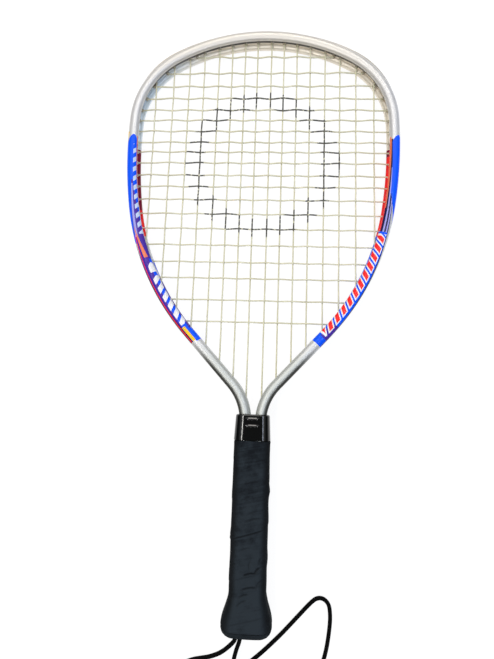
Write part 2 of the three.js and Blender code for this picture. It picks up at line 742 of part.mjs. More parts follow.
function seamTool() {
  const corners = handleLoop(gripTopY, 0).length;
  const top = gripTopY + seamWidth;
  const steps = Math.floor((top - wrapEndY - seamWidth) / wrapPitch * corners);
  const loop = [new THREE.Vector2(-seamDepth, 0), new THREE.Vector2(seamDepth, -seamWidth / 2),
    new THREE.Vector2(seamDepth, seamWidth / 2)];
  const rings = Array.from({ length: steps + 1 }, (_, step) => {
    const y = top - wrapPitch * step / corners;
    const corner = handleLoop(y, 0)[(step + Math.round(seamStartShare * corners)) % corners];
    return new THREE.Vector3(corner.x, y, corner.y);
  });
  return carriedBody(rings.map(() => [loop]), (station, flat) => {
    const ring = rings[station];
    const outward = new THREE.Vector3(ring.x, 0, ring.z).normalize();
    return ring.clone().addScaledVector(outward, flat.x).add(new THREE.Vector3(0, flat.y, 0));
  });
}

function makeKnot() {
  const knot = new THREE.SphereGeometry(1 / 2, cordHoleSides, cordSides);
  knot.scale(knotWidth, knotHeight, knotDepth);
  knot.translate(-cordHoleOffset, buttY + capFloor + clearance + knotHeight / 2, 0);
  return knot;
}

function makeWristCord() {
  const route = new THREE.CatmullRomCurve3(cordRoute.map((place) => new THREE.Vector3(...place)));
  const section = new THREE.Shape(circleLoop(cordDiameter / 2, cordSides));
  return new THREE.ExtrudeGeometry(section, { steps: cordSteps, extrudePath: route });
}

// Assembly

function paint(name, geometry, color, roughness, metalness) {
  const mesh = new THREE.Mesh(geometry, new THREE.MeshStandardMaterial({ color, roughness, metalness }));
  mesh.name = name;
  return mesh;
}

const racket = new THREE.Group();
racket.add(
  paint('frame', makeFrame(), 0xcfcfca, 0.3, 0.85),
  paint('bumper_guard', makeBumper(), 0xd5cdb8, 0.5, 0),
  paint('grommet_strip_left', makeSideStrip(-1), 0xe4dfd0, 0.5, 0),
  paint('grommet_strip_right', makeSideStrip(1), 0xe4dfd0, 0.5, 0),
  paint('main_string', makeMainString(), 0xe8e2cc, 0.35, 0),
  paint('cross_string', makeCrossString(), 0xe8e2cc, 0.35, 0),
  paint('throat_collar', makeCollar(), 0x0c0d0e, 0.15, 0),
  paint('handle_shell_front', makeHandleShell(1), 0x3a3a3a, 0.6, 0),
  paint('handle_shell_back', makeHandleShell(-1), 0x3a3a3a, 0.6, 0),
  paint('butt_cap', makeButtCap(), 0x202326, 0.7, 0),
  paint('butt_staple_front', makeStaple(1), 0x9a9a9a, 0.35, 0.9),
  paint('butt_staple_back', makeStaple(-1), 0x9a9a9a, 0.35, 0.9),
  paint('grip_wrap', makeGripWrap(), 0x262c31, 0.9, 0),
  paint('cord_knot', makeKnot(), 0x121212, 0.8, 0),
);

// The racket lies on the back of its head and the back of its butt, which is thicker
const headRest = frameDepth / 2;
const buttRest = buttDepth / 2;
racket.rotation.x = -Math.asin((buttRest - headRest) / -widestButtY);
racket.updateMatrixWorld(true);
const box = new THREE.Box3().setFromObject(racket, true);
racket.position.set(-(box.min.x + box.max.x) / 2, -(box.min.y + box.max.y) / 2, -box.min.z);

const assembly = new THREE.Group();
assembly.add(racket, paint('wrist_cord', makeWristCord(), 0x121212, 0.8, 0));

export default assembly;
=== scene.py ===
import math
from functools import partial

import bmesh
import bpy
import numpy as np
from mathutils import Matrix, Vector, noise


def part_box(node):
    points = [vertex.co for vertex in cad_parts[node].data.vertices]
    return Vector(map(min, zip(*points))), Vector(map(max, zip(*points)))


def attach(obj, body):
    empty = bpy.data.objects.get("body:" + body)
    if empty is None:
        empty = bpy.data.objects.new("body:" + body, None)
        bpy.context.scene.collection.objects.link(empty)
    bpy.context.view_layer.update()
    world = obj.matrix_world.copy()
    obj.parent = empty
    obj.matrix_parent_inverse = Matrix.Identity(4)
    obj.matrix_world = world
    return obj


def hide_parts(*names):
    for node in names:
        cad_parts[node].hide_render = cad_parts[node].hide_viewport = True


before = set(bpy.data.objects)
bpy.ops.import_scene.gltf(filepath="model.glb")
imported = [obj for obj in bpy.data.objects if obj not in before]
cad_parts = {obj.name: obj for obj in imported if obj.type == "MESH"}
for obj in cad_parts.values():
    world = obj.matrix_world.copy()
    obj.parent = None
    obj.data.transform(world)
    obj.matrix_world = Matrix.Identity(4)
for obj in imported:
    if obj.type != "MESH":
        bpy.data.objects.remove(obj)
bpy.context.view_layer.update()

# A racquetball racket, face up on a flat surface. Racket sizes are in millimetres, in the racket's
# own frame: its origin is the middle of the tube at the head's tip, +X is to the right, +Y runs
# away from the handle and +Z is up. to_world tilts it to where it lies and turns it to metres.
MM = 0.001

# Head outline: the tube's centreline from the tip round one side to the handle
TIP_RADIUS = 171.4
TIP_TURN = math.radians(29.9)
CORNER_RADIUS = 80.4
CORNER_TURN = math.radians(57.7)
SIDE_RADIUS = 452.7
SIDE_TURN = math.radians(11.4)
LOWER_RADIUS = 232.4
LOWER_TURN = math.radians(33.6)
THROAT_RADIUS = 48.7
TUBE_SPACING = 13.6
TUBE_IN_HANDLE = 141.0

# Frame extrusion
FRAME_DEPTH = 20.0
LOBE_WIDTH = 9.8
LOBE_HEIGHT = 7.2
LOBE_CENTRE = (FRAME_DEPTH - LOBE_HEIGHT) / 2
WEB_HALF = 1.1
CLEARANCE = 0.3

# Strings
STRING_RADIUS = 0.75
MAIN_SHARES = (0.055, 0.154, 0.257, 0.362, 0.478, 0.594, 0.718, 0.856)
CROSS_SHARES = (
    0.048, 0.095, 0.133, 0.168, 0.201, 0.23, 0.261, 0.292, 0.319, 0.349,
    0.383, 0.414, 0.449, 0.487, 0.526, 0.569, 0.613, 0.654, 0.709, 0.763,
)
HOLE_STAGGER = 0.9
LEAD_IN = 9.0
KNOT_TAIL = 9.0
CROSS_SWING = 0.9
MAIN_SWING = 0.6

# Grommets and bumper
BARREL_BORE = 2.2
BARREL_WALL = 0.5
BARREL_REACH = 2.3
STRIP_FLOOR = WEB_HALF + CLEARANCE
STRIP_TOP = STRIP_FLOOR + 0.8
BARREL_MOUTH = -(WEB_HALF + BARREL_REACH)
STRING_TURN = BARREL_MOUTH - CLEARANCE
GROOVE_LANE = STRIP_TOP + CLEARANCE + STRING_RADIUS
STRIP_JOINT = 0.6
STRIP_TAIL = 5.0
CROSSES_UNDER_BUMPER = 6
BUMPER_EDGE = 1.0
FLANGE_HEIGHT = 5.2
CROWN_HEIGHT = 2.9
LIP_AT_TIP = 3.3
LIP_AT_CORNER = 4.4
LIP_AT_END = 0.6
CORNER_PLACE_SHARE = 0.55

# Handle
HANDLE_LENGTH = 171.9
GRIP_WIDTH = 32.3
GRIP_DEPTH = 29.0
GRIP_BEVEL = 6.0
BEVEL_CROWN = 0.5
WRAP_THICKNESS = 1.9
WRAP_PITCH = 33.0
BUTT_WIDTH = 43.5
BUTT_DEPTH = 39.0
BUTT_FLARE = 26.0
BUTT_WIDEST_ABOVE = 6.0
BUTT_END_SHARE = 0.76
WRAP_END_ABOVE = 5.0

# Collar
COLLAR_LENGTH = 22.3
COLLAR_RISE = 6.6
COLLAR_TOP_WIDTH = 30.0
COLLAR_TOP_DEPTH = 26.0
COLLAR_CHAMFER = 1.6
COLLAR_POWER = 0.45       # below 1, which is an ellipse: the smaller, the squarer the section
COLLAR_VALLEY = 0.7
COLLAR_VALLEY_HALF = 6.4
RIDGE_HEIGHT = 0.45
RIDGE_HALF = 1.0
RIDGE_PLACES = (3.6, 9.6)

# Butt cap and cord
CAP_CUP_ABOVE = 25.0
CAP_FLOOR = 3.0
CAP_CHAMBER = 9.2
CAP_LEDGE = 1.1
CAP_INSET = 0.35
CAP_ROUND = 0.9
CAP_ROUND_INWARD = 1.1
HOLE_LIP = 0.4
CORD_DIAMETER = 3.6
CORD_HOLE_LEFT = 6.5
KNOT_SIZE = (10.0, 6.5, 7.5)
KNOT_SQUEEZE = 0.8        # of the cord's diameter, where the knot is pulled tight

# The cord's route in the world: out of the left half of the hole, down to the surface, under
# itself, round the loop and back to the right half
CORD_ROUTE = (
    (-8.45, -276.6, 19.55), (-8.5, -283, 19.65), (-9.5, -287.6, 19.35), (-13.3, -292.4, 18.2),
    (-21.4, -300.6, 13.7), (-31.4, -307.4, 7.9), (-38.6, -310.6, 4.6), (-46.5, -313.4, 2.6),
    (-54.5, -317.2, 1.95), (-60.5, -322.6, 1.9), (-63, -329.6, 1.9), (-60.6, -336.8, 1.9),
    (-54, -341.2, 1.9), (-45.5, -341.6, 1.9), (-34, -337.4, 1.9), (-20, -329.5, 1.9),
    (6.5, -310.1, 1.9), (26.9, -291.4, 1.9), (44.2, -273.1, 1.9), (52, -264.7, 1.9),
    (56.8, -260.1, 1.9), (59.6, -258.2, 1.9), (62.8, -257.5, 1.9), (66, -258.2, 1.9),
    (68.8, -260.3, 1.9), (70.6, -263.3, 1.9), (71.5, -268, 1.9), (71.6, -278, 1.9),
    (66.7, -306.4, 1.9), (56.5, -327.5, 1.9), (37, -342.6, 1.9), (15, -345, 2),
    (-2, -335.8, 3.9), (-9.8, -321, 7.4), (-10.2, -308, 12.4), (-8, -296.5, 17.3),
    (-5.6, -288.6, 19.2), (-4.65, -283, 19.6), (-4.55, -276.6, 19.55),
)
BRAID_YARNS = 8
BRAID_PITCH = 1.41
BRAID_RELIEF = 0.045      # of the cord's radius

# Where the photograph was taken from, in metres, with a phone's main lens
CAMERA_PLACE = Vector((0.01684, -0.08293, 0.44832))
CAMERA_LOOK = Vector((-0.0574, 0.13371, -0.98936))
CAMERA_UP = Vector((-0.02675, 0.99043, 0.13541))
CAMERA_LENS = 26.0


def smooth(value, low, high):
    share = np.clip((value - low) / (high - low), 0, 1)
    return share * share * (3 - 2 * share)


def mixed(low, high, share):
    return low + (high - low) * share


def humped(value, width):
    return np.exp(-(value / width) ** 2)


# Centreline

def along_leg(leg, distance):
    start, length, bend, x, y, heading = leg
    turned = heading + bend * distance
    if bend == 0:
        return x + math.cos(heading) * distance, y + math.sin(heading) * distance, turned
    right = x + (math.sin(turned) - math.sin(heading)) / bend
    up = y - (math.cos(turned) - math.cos(heading)) / bend
    return right, up, turned


def centreline_legs():
    """The tube's legs of constant bend: (start, length, bend, x, y, heading)."""
    legs = []

    def add_leg(length, bend):
        start = legs[-1][0] + legs[-1][1] if legs else 0
        place = along_leg(legs[-1], legs[-1][1]) if legs else (0, 0, 0)
        legs.append((start, length, bend, *place))

    for radius, turn in (
        (TIP_RADIUS, TIP_TURN),
        (CORNER_RADIUS, CORNER_TURN),
        (SIDE_RADIUS, SIDE_TURN),
        (LOWER_RADIUS, LOWER_TURN),
    ):
        add_leg(radius * turn, -1 / radius)
    x, _, heading = along_leg(legs[-1], legs[-1][1])
    throat_span = THROAT_RADIUS * (1 + math.sin(heading))
    add_leg((x - TUBE_SPACING / 2 - throat_span) / -math.cos(heading), 0)
    add_leg(THROAT_RADIUS * (-math.pi / 2 - heading), 1 / THROAT_RADIUS)
    add_leg(TUBE_IN_HANDLE, 0)
    return legs


LEGS = centreline_legs()
THROAT_DISTANCE = LEGS[-1][0]
THROAT_Y = LEGS[-1][4]
TUBE_END = THROAT_DISTANCE + TUBE_IN_HANDLE
BUTT_Y = THROAT_Y - HANDLE_LENGTH
COLLAR_TOP_Y = THROAT_Y + COLLAR_RISE
GRIP_TOP_Y = COLLAR_TOP_Y - COLLAR_LENGTH
WIDEST_BUTT_Y = BUTT_Y + BUTT_WIDEST_ABOVE
WRAP_END_Y = BUTT_Y + WRAP_END_ABOVE


def place_at(distance):
    """The centreline's point that far from the tip, to the right if positive, and the way out."""
    side = -1 if distance < 0 else 1
    along = abs(distance)
    leg = [one for one in LEGS if one[0] <= along][-1]
    x, y, heading = along_leg(leg, along - leg[0])
    out = np.array([-math.sin(heading) * side, math.cos(heading), 0.0])
    return np.array([x * side, y, 0.0]), out


def off_frame(distance, outward, height):
    point, out = place_at(distance)
    return point + out * outward + np.array([0, 0, height])


def turn_at(distance):
    """Where a string turns out of the head into the hole that far from the tip."""
    return off_frame(distance, STRING_TURN, 0)


# The racket lies on the back of its head and the back of its thicker butt
TILT = math.asin((BUTT_DEPTH - FRAME_DEPTH) / 2 / -WIDEST_BUTT_Y)
TILT_TURN = np.array(Matrix.Rotation(-TILT, 3, "X"))
TIP_FRONT = np.array([0, LOBE_WIDTH / 2 + LIP_AT_TIP, CROWN_HEIGHT])
TIP_PLACE_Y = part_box("bumper_guard")[1].y / MM - (TILT_TURN @ TIP_FRONT)[1]
RACKET_PLACE = np.array([0, TIP_PLACE_Y, FRAME_DEPTH / 2 * math.cos(TILT)])


def to_world(points):
    return (np.asarray(points) @ TILT_TURN.T + RACKET_PLACE) * MM


# Meshes

SHARP_ANGLE = math.radians(38)


def new_object(name, data):
    made = bpy.data.objects.new(name, data)
    bpy.context.scene.collection.objects.link(made)
    return made


def mark_piece(piece, replaced):
    """Rides a piece on the racket's one body, in the place of a CAD solid."""
    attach(piece, "root")
    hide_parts(replaced)


def tidy_mesh(mesh):
    """Turns every face outwards and shades smooth but for the sharp edges."""
    shape = bmesh.new()
    shape.from_mesh(mesh)
    bmesh.ops.recalc_face_normals(shape, faces=shape.faces)
    shape.to_mesh(mesh)
    shape.free()
    mesh.shade_smooth()
    mesh.set_sharp_from_angle(angle=SHARP_ANGLE)


def skinned(name, rings, around, along, closed=False):
    """A mesh over rings of points. Its UV map holds the place around the ring and the distance along.
    It has a flat cap at each end, or joins its last ring to its first where it is closed."""
    count, corners = rings.shape[:2]
    index = np.arange(count * corners).reshape(count, corners)
    if closed:
        index = np.vstack([index, index[:1]])
    ahead = np.roll(index, -1, axis=1)
    faces = np.stack([index[:-1], ahead[:-1], ahead[1:], index[1:]], axis=-1).reshape(-1, 4).tolist()
    u = np.stack([around[:-1], around[1:], around[1:], around[:-1]], axis=-1)
    v = np.stack([along[:-1], along[:-1], along[1:], along[1:]], axis=-1)
    u = np.tile(u, (len(index) - 1, 1, 1))
    v = np.repeat(v[:, None], corners, axis=1)
    flat = np.stack([u, v], axis=-1).reshape(-1, 2)
    if not closed:
        faces += [index[0][::-1].tolist(), index[-1].tolist()]
        ends = np.repeat([[around[0], along[0]], [around[0], along[-1]]], corners, axis=0)
        flat = np.vstack([flat, ends])
    mesh = bpy.data.meshes.new(name)
    mesh.from_pydata(rings.reshape(-1, 3).tolist(), [], faces)
    layer = mesh.uv_layers.new(name="UVMap")
    layer.data.foreach_set("uv", flat.astype(np.float32).ravel())
    tidy_mesh(mesh)
    return mesh


def even_steps(start, end, step):
    return np.linspace(start, end, max(2, round(abs(end - start) / step) + 1))


def swept(name, distances, loop_at, around_at):
    """A section carried along the frame: loop_at gives its points as (outward, height)."""
    rings = []
    for distance in distances:
        point, out = place_at(distance)
        loop = loop_at(distance)
        ring = point + loop[:, :1] * out
        ring[:, 2] = loop[:, 1]
        rings.append(ring)
    return skinned(name, to_world(np.array(rings)), around_at(loop), np.asarray(distances))


def travelled(points):
    """The distance along a line at each of its points."""
    return np.concatenate([[0], np.cumsum(np.linalg.norm(np.diff(points, axis=0), axis=1))])


def perimeter(loop):
    """The distance round a loop at each of its points, and at the end."""
    return travelled(np.vstack([loop, loop[:1]]))


def softened(loop, share, times):
    """Cuts the corners of a loop, each by a share of its sides."""
    for _ in range(times):
        ahead = np.roll(loop, -1, axis=0)
        first = loop + (ahead - loop) * share
        last = ahead + (loop - ahead) * share
        loop = np.stack([first, last], axis=1).reshape(-1, loop.shape[1])
    return loop


def tube_rings(points, radii, sides):
    """Rings of a round bar whose section turns as little as it can along the points."""
    headings = np.gradient(points, axis=0)
    headings /= np.linalg.norm(headings, axis=1, keepdims=True)
    angles = np.linspace(0, 2 * math.pi, sides, endpoint=False)[:, None]
    radii = np.broadcast_to(radii, (len(points), sides))[..., None]
    across = np.array([0.0, 0.0, 1.0])
    rings = []
    for point, heading, radius in zip(points, headings, radii):
        across = across - heading * (across @ heading)
        across /= np.linalg.norm(across)
        upward = np.cross(heading, across)
        rings.append(point + radius * (np.cos(angles) * across + np.sin(angles) * upward))
    return np.array(rings)


def evenly(points, step):
    """The same line with its points that far apart."""
    distance = travelled(points)
    wanted = even_steps(0, distance[-1], step)
    return np.stack([np.interp(wanted, distance, points[:, axis]) for axis in range(3)], axis=1)


def relaxed(points, times):
    """Rounds the corners of a finely stepped line."""
    for _ in range(times):
        points[1:-1] = (points[:-2] + 2 * points[1:-1] + points[2:]) / 4
    return points


# Node trees

EASED = {"interpolation_type": "SMOOTHSTEP"}
COLOURS = {"data_type": "RGBA", "output": 2}

# A mix node's sockets: its factor, and the two numbers or the two colours that it mixes
FACTOR, FIRST, SECOND, UNDER, OVER = 0, 2, 3, 6, 7


def colour(code):
    """An sRGB hex colour as the linear colour that shaders take."""
    parts = [int(code[k:k + 2], 16) / 255 for k in (1, 3, 5)]
    return (*[c / 12.92 if c <= 0.04045 else ((c + 0.055) / 1.055) ** 2.4 for c in parts], 1)


def add(tree, kind, sockets=(), output=0, **settings):
    """Adds a shader node, or another whose kind is given in full, with its operation after a dot.
    Its sockets, in order or by name, are set to values or fed by other nodes' outputs. Gives back
    one of its own outputs."""
    kind, _, operation = kind.partition(".")
    made = tree.nodes.new(kind if "Node" in kind else "ShaderNode" + kind)
    if operation:
        made.operation = operation
    for name, value in settings.items():
        setattr(made, name, value)
    for socket, value in sockets.items() if isinstance(sockets, dict) else enumerate(sockets):
        if isinstance(value, bpy.types.NodeSocket):
            tree.links.new(value, made.inputs[socket])
        else:
            made.inputs[socket].default_value = value
    return made.outputs[output] if made.outputs else None


def emptied(owner):
    """Clears the nodes of a material or world, and gives what adds new ones there."""
    owner.use_nodes = True
    owner.node_tree.nodes.clear()
    return partial(add, owner.node_tree)


def new_group(name, family, inputs, result):
    """A node group with its sockets' kinds, what adds nodes to it, and what its inputs give."""
    tree = bpy.data.node_groups.new(name, family + "NodeTree")
    for in_out, sockets in (("INPUT", inputs), ("OUTPUT", result)):
        for socket, kind in sockets.items():
            tree.interface.new_socket(socket, in_out=in_out, socket_type="NodeSocket" + kind)
    node = partial(add, tree)
    return tree, node, node("NodeGroupInput").node.outputs


def material_of(build):
    """The material named for its finish. build takes what adds nodes, the place on the object and
    the UV map, and gives the shader's sockets."""
    name = build.__name__
    if name in bpy.data.materials:
        return bpy.data.materials[name]
    material = bpy.data.materials.new(name)
    node = emptied(material)
    places = node("TexCoord").node.outputs
    shader = node("BsdfPrincipled", build(node, places["Object"], places["UV"]))
    node("OutputMaterial", {"Surface": shader})
    return material


# Frame

FRAME_STEP = 3.0
LOBE_STEPS = 26


def extrusion_loop():
    """The section of the double-barrel extrusion as (outward, height), with the angle round each
    lobe: from 0 at the outermost line over the front, and 360 more on the back lobe."""
    web = math.acos(WEB_HALF / (LOBE_WIDTH / 2))
    angles = np.linspace(-web, math.pi + web, LOBE_STEPS + 1)
    heights = LOBE_CENTRE + LOBE_HEIGHT / 2 * np.sin(angles)
    front = np.stack([LOBE_WIDTH / 2 * np.cos(angles), heights], axis=1)
    degrees = np.degrees(angles)
    return np.vstack([front, -front]), np.concatenate([degrees, degrees + 360, degrees[:1] + 720])


def make_frame():
    loop, degrees = extrusion_loop()
    distances = even_steps(-TUBE_END, TUBE_END, FRAME_STEP)
    return swept("frame_tube", distances, lambda distance: loop, lambda last: degrees)


# String places: where a string meets the line just inside the head

SOLVING_ROUNDS = 50


def solved(rising, low, high):
    for _ in range(SOLVING_ROUNDS):
        middle = (low + high) / 2
        if rising(middle) < 0:
            low = middle
        else:
            high = middle
    return (low + high) / 2


WIDEST = solved(lambda distance: -place_at(distance)[1][1], 0, THROAT_DISTANCE / 2)
HEAD_HALF_WIDTH = place_at(WIDEST)[0][0]
MAIN_HOLES = []
for side, shares in ((-1, MAIN_SHARES[::-1]), (1, MAIN_SHARES)):
    for share in shares:
        out = share * HEAD_HALF_WIDTH
        top = solved(lambda along: turn_at(along)[0] - out, 0, WIDEST)
        bottom = solved(lambda along: out - turn_at(along)[0], WIDEST, THROAT_DISTANCE)
        MAIN_HOLES.append((top * side, bottom * side))
CROSS_HOLES = [
    solved(lambda along: share * THROAT_Y - turn_at(along)[1], 0, THROAT_DISTANCE)
    for share in CROSS_SHARES
]
HOLES = [(distance, HOLE_STAGGER) for pair in MAIN_HOLES for distance in pair]
HOLES += [(distance * side, -HOLE_STAGGER) for distance in CROSS_HOLES for side in (-1, 1)]


# Strings

WEAVE_STEP = 1.0
LANE_STEP = 2.0
STRING_STEP = 0.8          # before every second point is left out
STRING_ROUNDING = 3
STRING_SIDES = 8
SAME_POINT = 1e-6


def crossings():
    """Each crossing of the net, by its main and cross string: its place, and both their heights."""
    found = {}
    for main, holes in enumerate(MAIN_HOLES):
        top, bottom = (turn_at(hole) for hole in holes)
        for cross, hole in enumerate(CROSS_HOLES):
            end = turn_at(hole)
            on_main = min(top[1] - end[1], end[1] - bottom[1])
            on_cross = end[0] - abs(top[0])
            if min(on_main, on_cross) <= 2 * STRING_RADIUS:
                continue
            plane = HOLE_STAGGER * max(0, 1 - on_main / LEAD_IN)
            side = 1 if (main + cross) % 2 == 0 and on_cross > LEAD_IN else -1
            heights = plane - MAIN_SWING * side, plane + CROSS_SWING * side
            found[main, cross] = np.array([top[0], end[1], 0.0]), heights
    return found


NET = crossings()


def woven_run(start, end, knots):
    """A straight run in plan whose height eases from knot to knot: (share of the run, height)."""
    shares, heights = np.array(sorted(knots)).T
    steps = np.linspace(0, 1, max(2, round(np.linalg.norm(end - start) / WEAVE_STEP)))
    place = np.clip(np.searchsorted(shares, steps, side="right") - 1, 0, len(shares) - 2)
    share = (steps - shares[place]) / (shares[place + 1] - shares[place])
    points = start + (end - start) * steps[:, None]
    points[:, 2] = mixed(heights[place], heights[place + 1], smooth(share, 0, 1))
    return points


def string_line(runs, height, last_side):
    """A serpentine string: along the groove, in by a hole, across the head and out by another."""

    def in_lane(*places):
        return np.array([off_frame(place, GROOVE_LANE, height) for place in places])

    parts = [in_lane(runs[0][0] + KNOT_TAIL)]
    for index, (enter, leave, knots) in enumerate(runs):
        start, end = (off_frame(hole, STRING_TURN, height) for hole in (enter, leave))
        parts += [in_lane(enter), woven_run(start, end, knots), in_lane(leave)]
        if index + 1 < len(runs):
            parts.append(in_lane(*even_steps(leave, runs[index + 1][0], LANE_STEP)))
    parts.append(in_lane(runs[-1][1] + last_side * KNOT_TAIL))
    line = np.vstack(parts)
    apart = np.append(np.linalg.norm(np.diff(line, axis=0), axis=1) > SAME_POINT, True)
    return relaxed(evenly(line[apart], STRING_STEP), STRING_ROUNDING)[::2]


def make_string(name, kind, holes, height, last_side):
    """A string through pairs of holes, every second run turned back. kind is 0 for the main string
    and 1 for the cross string, as in the net."""
    runs = []
    for index, ends in enumerate(holes):
        first, last = (turn_at(hole) for hole in ends)
        length = np.linalg.norm(last - first)
        knots = [(0.0, height), (1.0, height)]
        if kind == 0:
            knots.append((1 - LEAD_IN / length, 0.0))
        for crossing, (place, heights) in NET.items():
            if crossing[kind] == index:
                knots.append((np.linalg.norm(place - first) / length, heights[kind]))
        if index % 2:
            ends = ends[::-1]
            knots = [(1 - share, rise) for share, rise in knots]
        runs.append((*ends, knots))
    line = string_line(runs, height, last_side)
    rings = tube_rings(line, STRING_RADIUS, STRING_SIDES)
    turn = np.linspace(0, 2 * math.pi * STRING_RADIUS, STRING_SIDES + 1)
    return skinned(name, to_world(rings), turn, travelled(line))


# Bumper guard and grommet strips

STRIP_STEP = 2.5
BARREL_SIDES = 14
BUMPER_CUT = 0.22, 2      # share of each side cut at the section's corners, and how often
STRIP_CUT = 0.12, 1
BUMPER_END = (CROSS_HOLES[CROSSES_UNDER_BUMPER - 1] + CROSS_HOLES[CROSSES_UNDER_BUMPER]) / 2
STRIP_END = MAIN_HOLES[len(MAIN_SHARES)][1] + STRIP_TAIL


def groove_half(outward):
    """Half of the groove's height that far out from the middle of the web, less the clearance."""
    share = outward / (LOBE_WIDTH / 2 + CLEARANCE)
    return LOBE_CENTRE - (LOBE_HEIGHT / 2 + CLEARANCE) * math.sqrt(1 - share * share)


def lip_at(distance):
    """How far the bumper's crown stands out past the tube."""
    share = min(abs(distance) / BUMPER_END, 1)
    if share < CORNER_PLACE_SHARE:
        return mixed(LIP_AT_TIP, LIP_AT_CORNER, smooth(share, 0, CORNER_PLACE_SHARE))
    return mixed(LIP_AT_CORNER, LIP_AT_END, smooth(share, CORNER_PLACE_SHARE, 1))


def bumper_loop(distance):
    channel = HOLE_STAGGER + STRING_RADIUS + CLEARANCE
    crown = LOBE_WIDTH / 2 + lip_at(distance)
    flange_share = (LOBE_CENTRE - FLANGE_HEIGHT) / (LOBE_HEIGHT / 2 + CLEARANCE)
    edge = (LOBE_WIDTH / 2 + CLEARANCE) * math.sqrt(1 - flange_share * flange_share)
    shoulder = max(edge + BUMPER_EDGE / 2, crown - BUMPER_EDGE)
    middle = (STRIP_TOP + edge) / 2
    half = np.array([
        (STRIP_TOP, channel), (crown, channel), (crown, CROWN_HEIGHT),
        (shoulder, (CROWN_HEIGHT + FLANGE_HEIGHT) / 2), (edge, FLANGE_HEIGHT),
        (middle, groove_half(middle)), (STRIP_FLOOR, groove_half(STRIP_FLOOR)),
    ])
    return softened(np.vstack([half, (half * (1, -1))[::-1]]), *BUMPER_CUT)


def strip_loop(distance):
    low, high = groove_half(STRIP_FLOOR), groove_half(STRIP_TOP)
    loop = [(STRIP_FLOOR, -low), (STRIP_TOP, -high), (STRIP_TOP, high), (STRIP_FLOOR, low)]
    return softened(np.array(loop), *STRIP_CUT)


def barrel_tree():
    """Stands a barrel on each loose point marked in the mesh, along the point's own direction, and
    joins the barrels to the strip that the mesh also holds."""
    sizes = dict.fromkeys(("Bore", "Wall", "Length"), "Float")
    inputs = {"Geometry": "Geometry", **sizes, "Plastic": "Material"}
    tree, node, given = new_group("grommet_barrels", "Geometry", inputs, {"Geometry": "Geometry"})
    marked = node("GeometryNodeInputNamedAttribute", {"Name": "barrel"}, data_type="BOOLEAN")
    parts = node("GeometryNodeSeparateGeometry", {"Geometry": given["Geometry"], "Selection": marked})
    parts = parts.node.outputs
    half_wall = node("Math.MULTIPLY", (given["Wall"], 0.5))
    ring_radius = node("Math.MULTIPLY_ADD", (given["Bore"], 0.5, half_wall))
    ring = node("GeometryNodeCurvePrimitiveCircle", {"Resolution": BARREL_SIDES, "Radius": ring_radius})
    ring = node("GeometryNodeSetCurveNormal", {"Curve": ring}, mode="Z_UP")
    size = {"Width": given["Wall"], "Height": given["Length"]}
    wall = node("GeometryNodeCurvePrimitiveQuadrilateral", size)
    barrel = node("GeometryNodeCurveToMesh", {"Curve": ring, "Profile Curve": wall})
    outward = node("GeometryNodeInputNamedAttribute", {"Name": "outward"}, data_type="FLOAT_VECTOR")
    turn = node("FunctionNodeAlignRotationToVector", {"Vector": outward}, axis="Z")
    standing = {"Points": parts["Selection"], "Instance": barrel, "Rotation": turn}
    barrels = node("GeometryNodeInstanceOnPoints", standing)
    joined = node("GeometryNodeJoinGeometry")
    for part in (barrels, parts["Inverted"]):
        tree.links.new(part, joined.node.inputs[0])
    real = node("GeometryNodeRealizeInstances", {"Geometry": joined})
    done = node("GeometryNodeSetMaterial", {"Geometry": real, "Material": given["Plastic"]})
    node("NodeGroupOutput", {"Geometry": done})
    return tree


def run_tree(piece, tree, values):
    """Runs a Geometry Nodes tree on a piece and keeps what it makes as a plain mesh."""
    modifier = piece.modifiers.new("tree", "NODES")
    modifier.node_group = tree
    sockets = {item.name: item.identifier for item in tree.interface.items_tree if item.in_out == "INPUT"}
    for name, value in values.items():
        modifier[sockets[name]] = value
    evaluated = piece.evaluated_get(bpy.context.evaluated_depsgraph_get())
    made = bpy.data.meshes.new_from_object(evaluated)
    piece.modifiers.clear()
    piece.data = made
    tidy_mesh(made)


def make_strip(name, first, last, loop_at, tree, build):
    """A bumper or grommet strip with a barrel in each of its string holes."""
    mesh = swept(name, even_steps(first, last, STRIP_STEP), loop_at, perimeter)
    mine = [hole for hole in HOLES if first < hole[0] < last]
    held = len(mesh.vertices)
    mesh.vertices.add(len(mine))
    mesh.attributes.new("barrel", "BOOLEAN", "POINT")
    mesh.attributes.new("outward", "FLOAT_VECTOR", "POINT")
    for index, (place, height) in enumerate(mine, held):
        middle = off_frame(place, (STRIP_FLOOR + BARREL_MOUTH) / 2, height)
        mesh.vertices[index].co = to_world(middle)
        mesh.attributes["barrel"].data[index].value = True
        mesh.attributes["outward"].data[index].vector = TILT_TURN @ place_at(place)[1]
    piece = new_object(name, mesh)
    length = STRIP_FLOOR - BARREL_MOUTH
    sizes = {"Bore": BARREL_BORE * MM, "Wall": BARREL_WALL * MM, "Length": length * MM}
    run_tree(piece, tree, {**sizes, "Plastic": material_of(build)})
    return piece


# Handle

